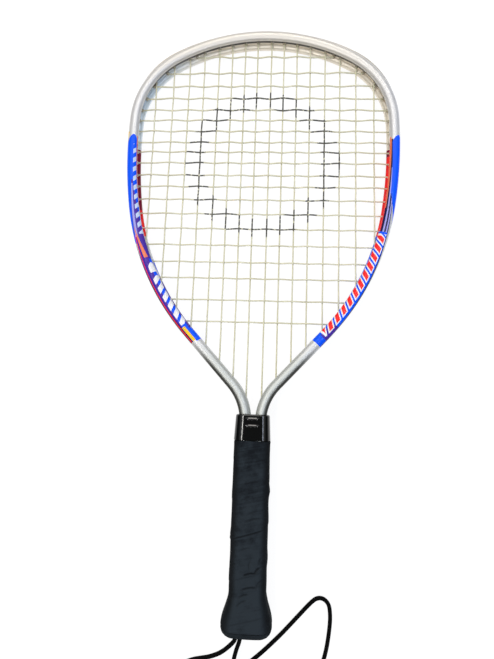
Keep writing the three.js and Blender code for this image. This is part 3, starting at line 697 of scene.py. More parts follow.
GRIP_STEP = 0.5
GRIP_POINTS = 120
BEVEL_CUT = 0.25, 3
SEAM_Y = -471.1           # the wrap's seam on the middle of the front
FRONT_SHARE = 0.25        # of the way round, at the middle of the front
OVERLAP_RISE = 0.45
LAP_START = (0.62, 0.88)  # of a turn, where the strip beneath lifts the wrap
LAP_DROP = (0.97, 1.0)
LAP_LEAST = 0.35          # of its rise, where the lap is worn down
LAP_SHADE_WIDTH = 0.7
LAP_DEPTHS = (0.25, 0.12, 0.2, 1.0, 0.3, 0.15)     # how clearly each lap shows, from the collar down
SHADED_FLANK = (0.27, 0.43)      # of the width, over the bevels, where painted shade darkens the wrap
BULGE_Y = -437.0          # where slack has gathered on the right-hand side
BULGE_RISE = 0.9
BULGE_LENGTH = 4.0
BULGE_SIDE = (0.3, 0.5)
SLACK_RISE = 0.22
SLACK_SIZES = (7.0, 11.0)
TOP_EDGE = (0, 1.2)
END_EDGE = (-0.6, 1.0)
EDGE_SINK = 0.5

# Folds in the wrap: right and along at both ends, and depth
CREASES = (
    (-16.0, -474.5, -9.0, -473.2, 0.5), (-3.5, -461.0, 10.5, -458.0, 0.55),
    (-13.0, -496.5, -9.9, -494.9, 0.7), (-3.2, -503.2, 6.1, -501.2, 1.0),
    (6.1, -501.2, 10.4, -496.6, 1.1), (9.2, -494.0, 11.6, -489.0, 0.7),
    (0.8, -497.5, 2.0, -492.0, 0.5), (-4.1, -514.2, 7.1, -512.4, 0.8),
    (7.5, -512.0, 12.0, -506.5, 0.6), (-6.9, -520.5, 0.4, -517.8, 0.7),
    (-8.3, -526.7, -1.1, -522.5, 0.6), (-8.9, -445.4, -0.6, -441.0, 0.4),
    (-9.5, -438.0, 8.5, -431.5, 0.3), (-10.0, -421.0, 5.0, -414.5, 0.28),
    (-12.5, -406.0, -6.0, -404.0, 0.4), (-2.0, -455.5, 12.0, -451.0, 0.3),
    (-7.0, -484.5, 2.0, -481.5, 0.3),
)
CREASE_WIDTH = 0.6
CREASE_BOW = 0.7
CREASE_FADE = 1.8
PUSHED_SHARE = 0.6        # of a fold's depth, in the slack pushed up beside it
PUSHED_AWAY = 1.5
PUSHED_WIDTH = 1.0


def handle_size(y):
    """Width and depth of the handle's outer skin at a height."""
    flare = smooth(WIDEST_BUTT_Y + BUTT_FLARE - y, 0, BUTT_FLARE)
    end = min(max((WIDEST_BUTT_Y - y) / BUTT_WIDEST_ABOVE, 0), 1)
    end_share = mixed(BUTT_END_SHARE, 1, math.sqrt(1 - end * end))
    return mixed(GRIP_WIDTH, BUTT_WIDTH, flare) * end_share, mixed(GRIP_DEPTH, BUTT_DEPTH, flare) * end_share


def bevel_loop(width, depth, inset, count):
    """An eight-sided outline with soft corners, as (right, up), evenly spaced from the right-hand
    side anticlockwise."""
    half_width, half_depth = width / 2 - inset, depth / 2 - inset
    bevel = GRIP_BEVEL * (half_width + half_depth) / (GRIP_WIDTH / 2 + GRIP_DEPTH / 2)
    corners = []
    for side, face in ((1, 1), (-1, 1), (-1, -1), (1, -1)):
        side_end = np.array([side * half_width, face * (half_depth - bevel)])
        flat_end = np.array([side * (half_width - bevel), face * half_depth])
        middle = (side_end + flat_end) / 2 + np.array([side, face]) / math.sqrt(2) * BEVEL_CROWN
        corners += [side_end, middle, flat_end][::side * face]
    loop = softened(np.array(corners), *BEVEL_CUT)
    angles = np.arctan2(loop[:, 1], loop[:, 0]) % (2 * math.pi)
    loop = loop[np.argsort(angles)]
    first = loop[0] + (loop[-1] - loop[0]) * loop[0][1] / (loop[0][1] - loop[-1][1])
    round_it = np.vstack([first, loop, first])
    distance = travelled(round_it)
    wanted = np.linspace(0, distance[-1], count, endpoint=False)
    return np.stack([np.interp(wanted, distance, round_it[:, axis]) for axis in (0, 1)], axis=1)


def handle_rings(heights, loops):
    """Rings across the handle from loops of (right, up)."""
    loops = np.array(loops)
    along = np.broadcast_to(np.array(heights)[:, None], loops.shape[:2])
    return np.stack([loops[..., 0], along, loops[..., 1]], axis=-1)


def crease_depth(x, y, z):
    """Depth of the folds in the wrap at a place on its front, and the slack pushed up beside them."""
    fold, pushed = 0.0, 0.0
    for from_x, from_y, to_x, to_y, depth in CREASES:
        way = np.array([to_x - from_x, to_y - from_y])
        length = np.linalg.norm(way)
        way = way / length
        along = (x - from_x) * way[0] + (y - from_y) * way[1]
        bow = CREASE_BOW * np.sin(np.clip(along / length, 0, 1) * math.pi)
        across = (y - from_y) * way[0] - (x - from_x) * way[1] - bow
        begun = smooth(along, -CREASE_FADE, CREASE_FADE)
        ended = smooth(along, length - CREASE_FADE, length + CREASE_FADE)
        depth = depth * begun * (1 - ended) * (z > 0)
        fold = fold + depth * humped(across, CREASE_WIDTH)
        pushed = pushed + PUSHED_SHARE * depth * humped(across + PUSHED_AWAY, PUSHED_WIDTH)
    return fold, pushed


def wrap_relief(x, y, z, share):
    """How far the wrap stands out at its skin, and how dark the painted shade of its laps and folds is
    there.
    """
    turns = (SEAM_Y - y) / WRAP_PITCH - (share - FRONT_SHARE)
    part = turns - np.floor(turns)
    laps = np.clip(np.floor(turns).astype(int) + len(LAP_DEPTHS) - 2, 0, len(LAP_DEPTHS) - 1)
    clear = np.take(LAP_DEPTHS, np.where(part < 0.5, laps - 1, np.minimum(laps, len(LAP_DEPTHS) - 2)))
    lap = smooth(part, *LAP_START) * (1 - smooth(part, *LAP_DROP))
    fold, pushed = crease_depth(x, y, z)
    relief = OVERLAP_RISE * (mixed(LAP_LEAST, 1, clear) * lap - 0.5) - fold + pushed
    edge = np.minimum(part, 1 - part) * WRAP_PITCH
    # The painted shade: dark along each lap's edge and down in the folds
    return relief, np.clip(clear * humped(edge, LAP_SHADE_WIDTH) + fold, 0, 1)


def make_grip_wrap():
    heights = even_steps(GRIP_TOP_Y - CLEARANCE, WRAP_END_Y, GRIP_STEP)
    share = np.arange(GRIP_POINTS) / GRIP_POINTS
    outer, inner, painted_shade = [], [], []
    for y in heights:
        width, depth = handle_size(y)
        loop = bevel_loop(width, depth, 0, GRIP_POINTS)
        x, z = loop.T
        relief, fold = wrap_relief(x, y, z, share)
        # Painted shade, dark in the laps and folds and over the side bevels
        painted_shade.append(np.maximum(fold, smooth(np.abs(x) / width, *SHADED_FLANK)))
        size, length = SLACK_SIZES
        slack = [noise.noise(Vector((right / size, y / length, up / size))) for right, up in loop]
        bulge = BULGE_RISE * humped(y - BULGE_Y, BULGE_LENGTH) * smooth(x / width, *BULGE_SIDE)
        edge = smooth(GRIP_TOP_Y - y, *TOP_EDGE) * smooth(y - WRAP_END_Y, *END_EDGE)
        rise = relief + np.array(slack) * SLACK_RISE + bulge - EDGE_SINK * (1 - edge)
        outer.append(loop + loop / np.linalg.norm(loop, axis=1, keepdims=True) * rise[:, None])
        inner.append(bevel_loop(width, depth, WRAP_THICKNESS, GRIP_POINTS))
    rings = np.vstack([handle_rings(heights, outer), handle_rings(heights[::-1], inner[::-1])])
    along = np.concatenate([heights, heights[::-1], heights[:1]])
    mesh = skinned("wound_grip", to_world(rings), perimeter(outer[0]), along, True)
    # Painted shade on the wrap's outer skin only, for its finish to darken by
    painted_shade = np.vstack([np.array(painted_shade), np.zeros((len(heights), GRIP_POINTS))])
    marks = mesh.attributes.new("fold", "FLOAT", "POINT")
    marks.data.foreach_set("value", painted_shade.astype(np.float32).ravel())
    return mesh


# Collar and butt

RING_POINTS = 96
COLLAR_STEP = 0.15
CUP_STEP = 1.5
FLARE_STEP = 0.6
ROUND_TURN = (0.3, math.pi / 2, 5)
FACE_SHARES = (0.3, 0.6, 0.85)     # of the way in over the end face
HOLE_RIM = (1.15, 1.1)
HOLE_SQUARENESS = 6.0
KNOT_STEPS = 120
KNOT_SIDES = 16


def collar_loop(y):
    below = COLLAR_TOP_Y - y
    width, depth = handle_size(GRIP_TOP_Y)
    down = below / COLLAR_LENGTH
    chamfer = COLLAR_CHAMFER * (1 - math.sqrt(1 - max(0, 1 - below / COLLAR_CHAMFER) ** 2))
    half_width = mixed(COLLAR_TOP_WIDTH, width, down) / 2 - chamfer
    half_depth = mixed(COLLAR_TOP_DEPTH, depth, down) / 2 - chamfer / 2
    ridge = RIDGE_HEIGHT * max(max(0, 1 - abs(below - place) / RIDGE_HALF) for place in RIDGE_PLACES)
    angles = (np.arange(RING_POINTS) + 0.5) * 2 * math.pi / RING_POINTS
    cosine, sine = np.cos(angles), np.sin(angles)
    x = half_width * np.sign(cosine) * np.abs(cosine) ** COLLAR_POWER
    z = half_depth * np.sign(sine) * np.abs(sine) ** COLLAR_POWER
    sunk = COLLAR_VALLEY * (1 - down) ** 3 * (1 - smooth(np.abs(x), 0, COLLAR_VALLEY_HALF))
    raised = ridge * (1 - smooth(np.abs(x), COLLAR_VALLEY_HALF / 2, COLLAR_VALLEY_HALF))
    dip = np.where(np.abs(sine) > np.abs(cosine), sunk - raised, 0)
    return np.stack([x, z - np.sign(z) * dip], axis=1)


def make_collar():
    heights = even_steps(COLLAR_TOP_Y, GRIP_TOP_Y + CLEARANCE, COLLAR_STEP)
    loops = [collar_loop(y) for y in heights]
    return skinned("gloss_collar", to_world(handle_rings(heights, loops)), perimeter(loops[-1]), heights)


def cord_hole_loop():
    """The cord's hole as (right, up): two half circles with the room for a second strand between."""
    radius = CORD_DIAMETER / 2 + CLEARANCE
    angles = np.arange(RING_POINTS) * 2 * math.pi / RING_POINTS
    apart = (CORD_DIAMETER + CLEARANCE) / 2 * np.tanh(HOLE_SQUARENESS * np.cos(angles))
    return np.stack([radius * np.cos(angles) + apart - CORD_HOLE_LEFT, radius * np.sin(angles)], axis=1)


def make_butt_cap():
    """The flared cap, as one skin: down its outside, in over the end face, through the cord's hole
    and up the inside of its cup."""
    top = BUTT_Y + CAP_CUP_ABOVE
    foot = WRAP_END_Y - CLEARANCE
    turned_y = BUTT_Y + CAP_ROUND
    seat = WRAP_THICKNESS + CLEARANCE
    rings = [(y, bevel_loop(*handle_size(y), seat, RING_POINTS)) for y in even_steps(top, foot, CUP_STEP)]
    for y in even_steps(foot, turned_y, FLARE_STEP):
        rings.append((y, bevel_loop(*handle_size(y), CAP_INSET, RING_POINTS)))
    for angle in np.linspace(*ROUND_TURN):
        inset = CAP_INSET + CAP_ROUND_INWARD * (1 - math.cos(angle))
        face = bevel_loop(*handle_size(turned_y), inset, RING_POINTS)
        rings.append((BUTT_Y + CAP_ROUND * (1 - math.sin(angle)), face))
    hole = cord_hole_loop()
    centre = np.array([-CORD_HOLE_LEFT, 0])
    wide, rim = (centre + (hole - centre) * times for times in HOLE_RIM)
    rings += [(BUTT_Y, mixed(face, wide, share)) for share in FACE_SHARES]
    floor = BUTT_Y + CAP_FLOOR
    chamber = bevel_loop(GRIP_WIDTH, GRIP_DEPTH, seat + CAP_LEDGE, RING_POINTS)
    cup = bevel_loop(GRIP_WIDTH, GRIP_DEPTH, WRAP_THICKNESS, RING_POINTS)
    rings += [
        (BUTT_Y, rim), (BUTT_Y + HOLE_LIP, hole), (floor, hole), (floor, mixed(hole, chamber, 0.5)),
        (floor, chamber), (floor + CAP_CHAMBER, chamber), (floor + CAP_CHAMBER, cup), (top, cup),
    ]
    heights, loops = zip(*rings)
    rings = to_world(handle_rings(heights, loops))
    return skinned("flared_butt", rings, perimeter(face), np.array([*heights, heights[0]]), True)


def make_knot():
    """A tight overhand knot: three lobes of the same cord."""
    turn = np.linspace(0, 2 * math.pi, KNOT_STEPS, endpoint=False)
    radius = KNOT_SQUEEZE * CORD_DIAMETER / 2
    half = np.array(KNOT_SIZE) / 2 - radius
    line = np.stack([
        (np.sin(turn) + 2 * np.sin(2 * turn)) / 3 * half[0] - CORD_HOLE_LEFT,
        -np.sin(3 * turn) * half[1] + BUTT_Y + CAP_FLOOR + CLEARANCE + KNOT_SIZE[1] / 2,
        (np.cos(turn) - 2 * np.cos(2 * turn)) / 3 * half[2],
    ], axis=1)
    rings = tube_rings(np.vstack([line[-1:], line, line[:2]]), radius, KNOT_SIDES)[1:-2]
    around = np.linspace(0, 2 * math.pi * radius, KNOT_SIDES + 1)
    return skinned("overhand_knot", to_world(rings), around, perimeter(line), True)


# Wrist cord

ROUTE_STEPS = 39
CORD_STEP = 0.4
CORD_SIDES = 24


def cord_line():
    """The cord's centreline in metres: a centripetal curve through its route."""
    route = np.array(CORD_ROUTE) * MM
    ends = np.vstack([2 * route[0] - route[1], route, 2 * route[-1] - route[-2]])
    spans = np.sqrt(np.linalg.norm(np.diff(ends, axis=0), axis=1))
    t = np.linspace(0, 1, ROUTE_STEPS, endpoint=False)[:, None]
    parts = []
    for k in range(1, len(ends) - 2):
        before, here, after, beyond = ends[k - 1:k + 3]
        first, middle, last = spans[k - 1:k + 2]
        step = after - here
        leaving = (here - before) / first - (after - before) / (first + middle) + step / middle
        arriving = step / middle - (beyond - here) / (middle + last) + (beyond - after) / last
        leaving, arriving = leaving * middle, arriving * middle
        bent = (3 * step - 2 * leaving - arriving) * t ** 2 + (leaving + arriving - 2 * step) * t ** 3
        parts.append(here + leaving * t + bent)
    return evenly(np.vstack(parts + [route[-1:]]), CORD_STEP * MM)


def make_wrist_cord():
    line = cord_line()
    distance = travelled(line) / MM
    yarn = np.linspace(0, math.pi * BRAID_YARNS, CORD_SIDES, endpoint=False)
    wound = distance[:, None] * math.pi / BRAID_PITCH
    crest = np.maximum(np.abs(np.cos(yarn + wound)), np.abs(np.cos(yarn - wound)))
    radii = CORD_DIAMETER / 2 * MM * (1 - BRAID_RELIEF + BRAID_RELIEF * crest)
    rings = tube_rings(line, radii, CORD_SIDES)
    return skinned("braided_cord", rings, np.linspace(0, 1, CORD_SIDES + 1), distance), line


# Paint

# Inks of the printed bands
BLUE = "#0058FF"
LIGHT = "#C9DAF8"
NAVY = "#1B1A4C"
PURPLE = "#4A2DA4"
LAVENDER = "#A6A4EA"
SALMON = "#F08058"
RED = "#FF2A2C"
MAROON = "#880E38"
YELLOW = "#F9CC1E"
WHITE = "#F4F3F6"

# Printed bands at each shoulder, each over the ones before it: the colour, where it begins and ends
# along the tube from the head's tip in mm, the degrees round the lobe of its outer edge at its
# first and last place and of its inner edge there, and how far its first end bows back in mm
BAND_EDGES = ("Begin", "End", "Low first", "Low last", "High first", "High last", "Bow")
LEFT_BANDS = (
    (YELLOW, 186, 204, 0, -25, 52, 8, 0), (BLUE, 189, 214, 52, -25, 165, 165, 7),
    (BLUE, 214, 300, -25, -25, 165, 165, 0), (PURPLE, 236, 408, 88, -25, 104, 290, 0),
    (LAVENDER, 240, 294, 88, 56, 100, 86, 0), (SALMON, 190, 262, 152, 166, 172, 186, 0),
    (MAROON, 198, 266, 172, 186, 290, 290, 0), (RED, 262, 290, 186, 168, 290, 290, 0),
    (NAVY, 222, 408, -25, -25, -5, 66, 0), (SALMON, 284, 316, 62, 84, 66, 128, 0),
    (RED, 292, 408, 50, 34, 58, 50, 0), (BLUE, 318, 408, 130, 62, 215, 118, 0),
    (WHITE, 322, 332, 90, 90, 178, 178, 4), (YELLOW, 392, 408, 66, 66, 100, 100, 0),
    (BLUE, 396, 410, 100, 100, 215, 215, 0),
)
RIGHT_BANDS = (
    (NAVY, 193, 408, 116, -25, 150, 290, 0), (SALMON, 190, 262, 134, 140, 168, 158, 3),
    (MAROON, 197, 207, 165, 165, 290, 290, 0), (RED, 204, 298, 162, 146, 290, 290, 0),
    (LAVENDER, 222, 296, 112, 98, 122, 118, 0), (LAVENDER, 246, 296, 84, 62, 92, 80, 0),
    (BLUE, 189, 246, -25, -25, 128, 108, 7), (BLUE, 246, 276, -25, -25, 108, 20, 0),
    (BLUE, 286, 408, 60, 20, 290, 290, 0), (PURPLE, 384, 400, 20, 20, 120, 120, 0),
)

# Plain slanted bars in a band, given as a band is, with a bar's width as a share of the pitch
LEFT_BARS = (
    (LIGHT, 199, 292, 112, 106, 148, 166, 0, 0.5), (WHITE, 336, 390, 86, 78, 184, 184, 0, 0.62),
)
RIGHT_BARS = (
    (WHITE, 288, 398, 62, 66, 186, 186, 0, 0.78), (RED, 290, 396, 72, 76, 176, 176, 0, 0.5),
)
BAR_PITCH = 9.5
BAR_SLANT = 0.06          # of a bar, in mm along for each degree round the lobe
LOBE_PARTING = 270        # degrees in the paint's map between the front lobe and the back one
LOBE_MIRROR = 540
FLAKE = (0.5 * MM,) * 3
FLAKE_SHADE = (0, 1, 0.985, 1.015)

# Where the paint changes: what that follows, in mm along or degrees round the lobe, from and to
# there, and its strength at both
PAINT_FADES = (
    ("along", 405, 440, 0, 1),         # the arms
    ("along", 60, 170, 0, 1),          # the head's sides
    ("leftward", 40, 140, 0, 1),       # its left side
    ("across", 40, 92, 0.94, 0),       # painted shade on the outer flank
    ("along", 180, 230, 0.92, 0),      # painted light on the back lobe, in the head
    ("round", 176, 194, 0, 1),         # painted shade, into the groove
    ("round", 271, 278, 1, 0),         # and out of it
    ("along", 120, 190, 0.92, 0),      # near the tip
)
METAL_BY_ARM = (0, 1, 0.5, 0.65)
ROUGH_BY_METAL = (0, 1, 0.38, 0.52)
LACQUER_BY_ARM = (0, 1, 0.25, 0.04)


def band_group():
    """1 inside a printed band, whose two edges run straight from its first place to its last."""
    inputs = dict.fromkeys(("Across", "Along", *BAND_EDGES), "Float")
    tree, node, given = new_group("printed_band", "Shader", inputs, {"Mask": "Float"})
    low, high = (
        node("MapRange", [given[name] for name in ("Along", "Begin", "End", *ends)], clamp=False)
        for ends in (("Low first", "Low last"), ("High first", "High last"))
    )
    across = node("MapRange", (given["Across"], low, high, -1, 1), clamp=False)
    within = node("Math.COMPARE", (across, 0, 1))
    squared = node("Math.MULTIPLY", (across, across))
    begin = node("Math.MULTIPLY_ADD", (squared, given["Bow"], given["Begin"]))
    after = node("Math.GREATER_THAN", (given["Along"], begin))
    before = node("Math.LESS_THAN", (given["Along"], given["End"]))
    between = node("Math.MULTIPLY", (after, before))
    node("NodeGroupOutput", (node("Math.MULTIPLY", (between, within)),))
    return tree


def bars_group():
    """1 on slanted bars that repeat along the tube."""
    inputs = dict.fromkeys(("Across", "Along", "Slant", "Pitch", "Share"), "Float")
    tree, node, given = new_group("slanted_bars", "Shader", inputs, {"Mask": "Float"})
    slid = node("Math.MULTIPLY_ADD", (given["Across"], given["Slant"], given["Along"]))
    turns = node("Math.DIVIDE", (slid, given["Pitch"]))
    part = node("Math.FRACT", (turns,))
    away = node("Math.ABSOLUTE", (node("Math.SUBTRACT", (part, 0.5)),))
    half = node("Math.MULTIPLY", (given["Share"], 0.5))
    node("NodeGroupOutput", (node("Math.LESS_THAN", (away, half)),))
    return tree


BAND_TREE = band_group()
BAR_TREE = bars_group()


def printed(node, under, across, along, bands):
    """Lays the bands over a colour, those with bars too, and gives the colour and where ink lies."""
    ink = 0.0
    for code, *edges in bands:
        place = {"Across": across, "Along": along}
        mask = node("Group", {**place, **dict(zip(BAND_EDGES, edges))}, node_tree=BAND_TREE)
        if len(edges) > len(BAND_EDGES):
            slanted = {**place, "Slant": BAR_SLANT, "Pitch": BAR_PITCH, "Share": edges[-1]}
            mask = node("Math.MULTIPLY", (mask, node("Group", slanted, node_tree=BAR_TREE)))
        under = node("Mix", {FACTOR: mask, UNDER: under, OVER: colour(code)}, **COLOURS)
        ink = node("Math.MAXIMUM", (ink, mask))
    return under, ink


def clear_coated_metallic_paint(node, place, uv):
    # Silver basecoat with fine aluminium flake, printed colour bands at the shoulders and a clear
    # lacquer over all: bright soft highlights along the tubes, a faint sparkle, and flat saturated
    # colour where the bands are. Painted shade darkens the arms' outer flanks and the groove near
    # the tip, and painted light makes the back lobe paler inside the head, warm on the right and
    # cool on the left
    axes = node("SeparateXYZ", (uv,)).node.outputs
    on_back = node("Math.GREATER_THAN", (axes["X"], LOBE_PARTING))
    mirrored = node("Math.SUBTRACT", (LOBE_MIRROR, axes["X"]))
    across = node("Mix", {FACTOR: on_back, FIRST: axes["X"], SECOND: mirrored})
    leftward = node("Math.MULTIPLY", (axes["Y"], -1))
    along = node("Math.ABSOLUTE", (axes["Y"],))
    ways = {"along": along, "leftward": leftward, "across": across, "round": axes["X"]}
    arm, beside, on_left, flank, in_head, into, past, by_tip = (
        node("MapRange", (ways[way], *limits), **EASED) for way, *limits in PAINT_FADES
    )
    head = node("Mix", {FACTOR: beside, UNDER: colour("#E2DDD5"), OVER: colour("#DDDDDE")}, **COLOURS)
    silver = node("Mix", {FACTOR: arm, UNDER: head, OVER: colour("#CBCECA")}, **COLOURS)
    flake = node("TexWhiteNoise", {"Vector": node("VectorMath.SNAP", (place, FLAKE))})
    shade = node("MapRange", (flake, *FLAKE_SHADE))
    shown = node("VectorMath.SCALE", {"Vector": silver, "Scale": shade})
    # Painted light: the back lobe's inner face is made paler inside the head, warm on the right and cool on
    # the left
    pale = node("Mix", {FACTOR: on_left, UNDER: colour("#FFF6E6"), OVER: colour("#E6F4FF")}, **COLOURS)
    # Painted shade: the arms' outer flanks are darkened towards olive black
    arm_flank_shade = node("Math.MULTIPLY", (flank, arm))
    below = node("Math.MULTIPLY", (on_back, in_head))
    # Painted shade in the groove under the front lobe, near the tip
    groove_shade = node("Math.MULTIPLY", (node("Math.MULTIPLY", (into, past)), by_tip))
    # Lays the painted shade on the arms' flanks, the painted light on the back lobe and the painted shade in
    # the groove
    for mask, over in ((arm_flank_shade, colour("#2E2E27")), (below, pale), (groove_shade, colour("#1A130D"))):
        shown = node("Mix", {FACTOR: mask, UNDER: shown, OVER: over}, **COLOURS)
    shown, left_ink = printed(node, shown, across, leftward, LEFT_BANDS + LEFT_BARS)
    shown, right_ink = printed(node, shown, across, axes["Y"], RIGHT_BANDS + RIGHT_BARS)
    covered = node("Math.MAXIMUM", (node("Math.MAXIMUM", (left_ink, right_ink)), groove_shade))
    flaked = node("MapRange", (arm, *METAL_BY_ARM))
    metal = node("Math.MULTIPLY", (flaked, node("Math.SUBTRACT", (1, covered))))
    rough = node("MapRange", (metal, *ROUGH_BY_METAL))
    lacquer = node("MapRange", (arm, *LACQUER_BY_ARM))
    peel = node("TexNoise", {"Vector": place, "Scale": 1 / (4 * MM), "Detail": 1})
    wavy = node("Bump", {"Strength": 0.25, "Distance": 0.01 * MM, "Height": peel})
    return {"Base Color": shown, "Metallic": metal, "Roughness": rough, "Specular IOR Level": 0.15,
            "Coat Weight": lacquer, "Coat Roughness": 0.16, "Coat Normal": wavy}


# Other finishes

# Ranges from and to which a pattern is drawn out, and what it becomes there
SCUFF_RANGE = (0.6, 0.72, 0)
CLOUD_RANGE = (0.3, 0.7, 0, 0.35)
SOILED_ALONG = (70, 170, 0)             # mm from the tip
NYLON_ROUGH = (0, 1, 0.38, 0.62)
WEAR_RANGE = (0.36, 0.46, 0, 0.93)
IVORY_RANGE = (0.35, 0.65)
GLOSS_RANGE = (0.4, 0.7, 0.04, 0.13)
PALER_ALONG = (-400, BUTT_Y, 0, 0.32)   # mm from the tip
SUEDE_RANGE = (0.72, 1.28)
ZINC_ROUGH = (0, 1, 0.25, 0.5)

SCUFF_STRETCH = (1.6, 0.12, 1.0)        # across and along the strip
STRING_LAY = 0.9                        # mm round for each mm along
STRING_RIDGE = 0.45                     # mm
RING_CENTRE = (0.6 * MM, 139.1 * MM, 0)
RING_RADIUS = 66 * MM
RING_HALF_WIDTH = 9 * MM
STREAK_SLOPE = 0.2
STREAK_STRETCH = 0.05
NAP_SHARE = 0.5                         # of the nap and of the streaks, beside the patches
FOLD_SHADE = 0.8


def moulded_nylon(node, place, uv, codes, scuffs, corner_soil):
    """Natural nylon between two tones: how strongly it is scuffed, and soiled towards the corners."""
    cloud = node("TexNoise", {"Vector": place, "Scale": 1 / (14 * MM), "Detail": 3})
    stretched = node("VectorMath.MULTIPLY", (uv, SCUFF_STRETCH))
    streak = node("TexNoise", {"Vector": stretched, "Scale": 1, "Detail": 4})
    scuffed = node("MapRange", (streak, *SCUFF_RANGE, scuffs), **EASED)
    tone = node("MapRange", (cloud, *CLOUD_RANGE))
    away = node("Math.ABSOLUTE", (node("SeparateXYZ", (uv,), output="Y"),))
    soiled = node("MapRange", (away, *SOILED_ALONG, corner_soil), **EASED)
    for other in (tone, scuffed):
        soiled = node("Math.MAXIMUM", (soiled, other))
    light, dark = (colour(code) for code in codes)
    shown = node("Mix", {FACTOR: soiled, UNDER: light, OVER: dark}, **COLOURS)
    grain = node("TexNoise", {"Vector": place, "Scale": 1 / (0.8 * MM), "Detail": 2})
    bumped = node("Bump", {"Strength": 0.3, "Distance": 0.05 * MM, "Height": grain})
    return {"Base Color": shown, "Roughness": node("MapRange", (soiled, *NYLON_ROUGH)),
            "Normal": bumped, "Subsurface Weight": 0.2, "Subsurface Radius": (1, 0.8, 0.55),
            "Subsurface Scale": 1.2 * MM}


def natural_nylon_bumper(*given):
    # Natural nylon 6, uncoloured and slightly translucent, dulled by wall scuffs that run along
    # the strip: warm beige with a soft waxy edge and darker dry streaks on the crown
    return moulded_nylon(*given, ("#D6CCBA", "#7D7566"), 0.5, 1.0)


def natural_nylon_strip(*given):
    # The same nylon, kept clean inside the groove: a paler, even and slightly waxy white
    return moulded_nylon(*given, ("#F2EDE2", "#D6CFBE"), 0.2, 0.0)


def multifilament_nylon_string(node, place, uv):
    # Multifilament nylon string with a thin glossy resin skin, wound so that fine ridges slant
    # round it: ivory with small highlights. A plain ring is stencilled on the bed in black ink,
    # which has begun to wear off where balls strike
    axes = node("SeparateXYZ", (uv,)).node.outputs
    slanted = node("Math.MULTIPLY_ADD", (axes["Y"], STRING_LAY, axes["X"]))
    turned = node("Math.MULTIPLY", (slanted, 2 * math.pi / STRING_RIDGE))
    ridge = node("Math.SINE", (turned,))
    flat = node("VectorMath.MULTIPLY", (place, (1, 1, 0)))
    reach = node("VectorMath.DISTANCE", (flat, RING_CENTRE), output="Value")
    ring = node("Math.COMPARE", (reach, RING_RADIUS, RING_HALF_WIDTH))
    wear = node("TexNoise", {"Vector": place, "Scale": 1 / (2.5 * MM), "Detail": 4})
    inked = node("Math.MULTIPLY", (ring, node("MapRange", (wear, *WEAR_RANGE), **EASED)))
    cloud = node("TexNoise", {"Vector": place, "Scale": 1 / (25 * MM), "Detail": 2})
    tone = node("MapRange", (cloud, *IVORY_RANGE))
    bare = node("Mix", {FACTOR: tone, UNDER: colour("#E1DEC5"), OVER: colour("#D7D3B5")}, **COLOURS)
    shown = node("Mix", {FACTOR: inked, UNDER: bare, OVER: colour("#262624")}, **COLOURS)
    bumped = node("Bump", {"Strength": 0.35, "Distance": 0.03 * MM, "Height": ridge})
    return {"Base Color": shown, "Roughness": 0.36, "Normal": bumped, "Coat Weight": 0.25,
            "Coat Roughness": 0.12, "Subsurface Weight": 0.15, "Subsurface Radius": (1, 0.85, 0.6),
            "Subsurface Scale": 0.6 * MM}


def gloss_black_moulding(node, place, uv):
    # Injection-moulded ABS from a polished tool: deep black with sharp small highlights, broken a
    # little by the slight waviness of the moulding and by fine handling marks
    waves = node("TexNoise", {"Vector": place, "Scale": 1 / (2.6 * MM), "Detail": 1})
    marks = node("TexNoise", {"Vector": place, "Scale": 1 / (1.2 * MM), "Detail": 5})
    rough = node("MapRange", (marks, *GLOSS_RANGE))
    bumped = node("Bump", {"Strength": 0.5, "Distance": 0.03 * MM, "Height": waves})
    return {"Base Color": colour("#060707"), "Roughness": rough, "Normal": bumped,
            "Specular IOR Level": 0.6}


def suede(node, place, uv, codes, shaded_folds):
    """A napped charcoal between two tones, paler towards the butt and with fine streaks along the
    wound strip. If asked, painted shade darkens it in its laps and folds and on its side bevels."""
    axes = node("SeparateXYZ", (uv,)).node.outputs
    wound = node("Math.MULTIPLY_ADD", (axes["X"], STREAK_SLOPE, axes["Y"]))
    along = node("Math.MULTIPLY", (axes["X"], STREAK_STRETCH))
    stretched = node("CombineXYZ", (along, wound))
    streak = node("TexNoise", {"Vector": stretched, "Scale": 0.45, "Detail": 3})
    nap = node("TexNoise", {"Vector": place, "Scale": 1 / (0.45 * MM), "Detail": 3})
    grain = node("TexNoise", {"Vector": place, "Scale": 1 / (9 * MM), "Detail": 4})
    for other in (nap, streak):
        grain = node("Math.MULTIPLY_ADD", (other, NAP_SHARE, grain))
    paler = node("MapRange", (axes["Y"], *PALER_ALONG))
    tone = node("MapRange", (node("Math.ADD", (grain, paler)), *SUEDE_RANGE), **EASED)
    dark, light = (colour(code) for code in codes)
    shown = node("Mix", {FACTOR: tone, UNDER: dark, OVER: light}, **COLOURS)
    if shaded_folds:
        # Painted shade from the mesh, darkest in the laps, folds and side bevels
        fold = node("Attribute", output="Fac", attribute_name="fold")
        shade_amount = node("Math.MULTIPLY", (fold, FOLD_SHADE))
        shown = node("Mix", {FACTOR: shade_amount, UNDER: shown, OVER: colour("#06080A")}, **COLOURS)
    bumped = node("Bump", {"Strength": 0.55, "Distance": 0.2 * MM, "Height": grain})
    return {"Base Color": shown, "Roughness": 0.93, "Normal": bumped, "Specular IOR Level": 0.15,
            "Sheen Weight": 0.02, "Sheen Roughness": 0.5, "Sheen Tint": colour("#7C8792")}


def charcoal_suede_wrap(*given):
    # Synthetic suede wrap: dry charcoal with a fine nap that lights up a little at grazing
    # angles, slightly mottled by handling, with painted shade in a dark line where each turn laps
    # over the last, in its folds and on its side bevels
    return suede(*given, ("#101419", "#282F35"), True)


def charcoal_butt_rubber(*given):
    # Thermoplastic rubber with a spark-eroded grain: the same charcoal as the wrap but denser and
    # a shade darker, so the flare reads as one form with the grip
    return suede(*given, ("#0B0E11", "#1F252A"), False)


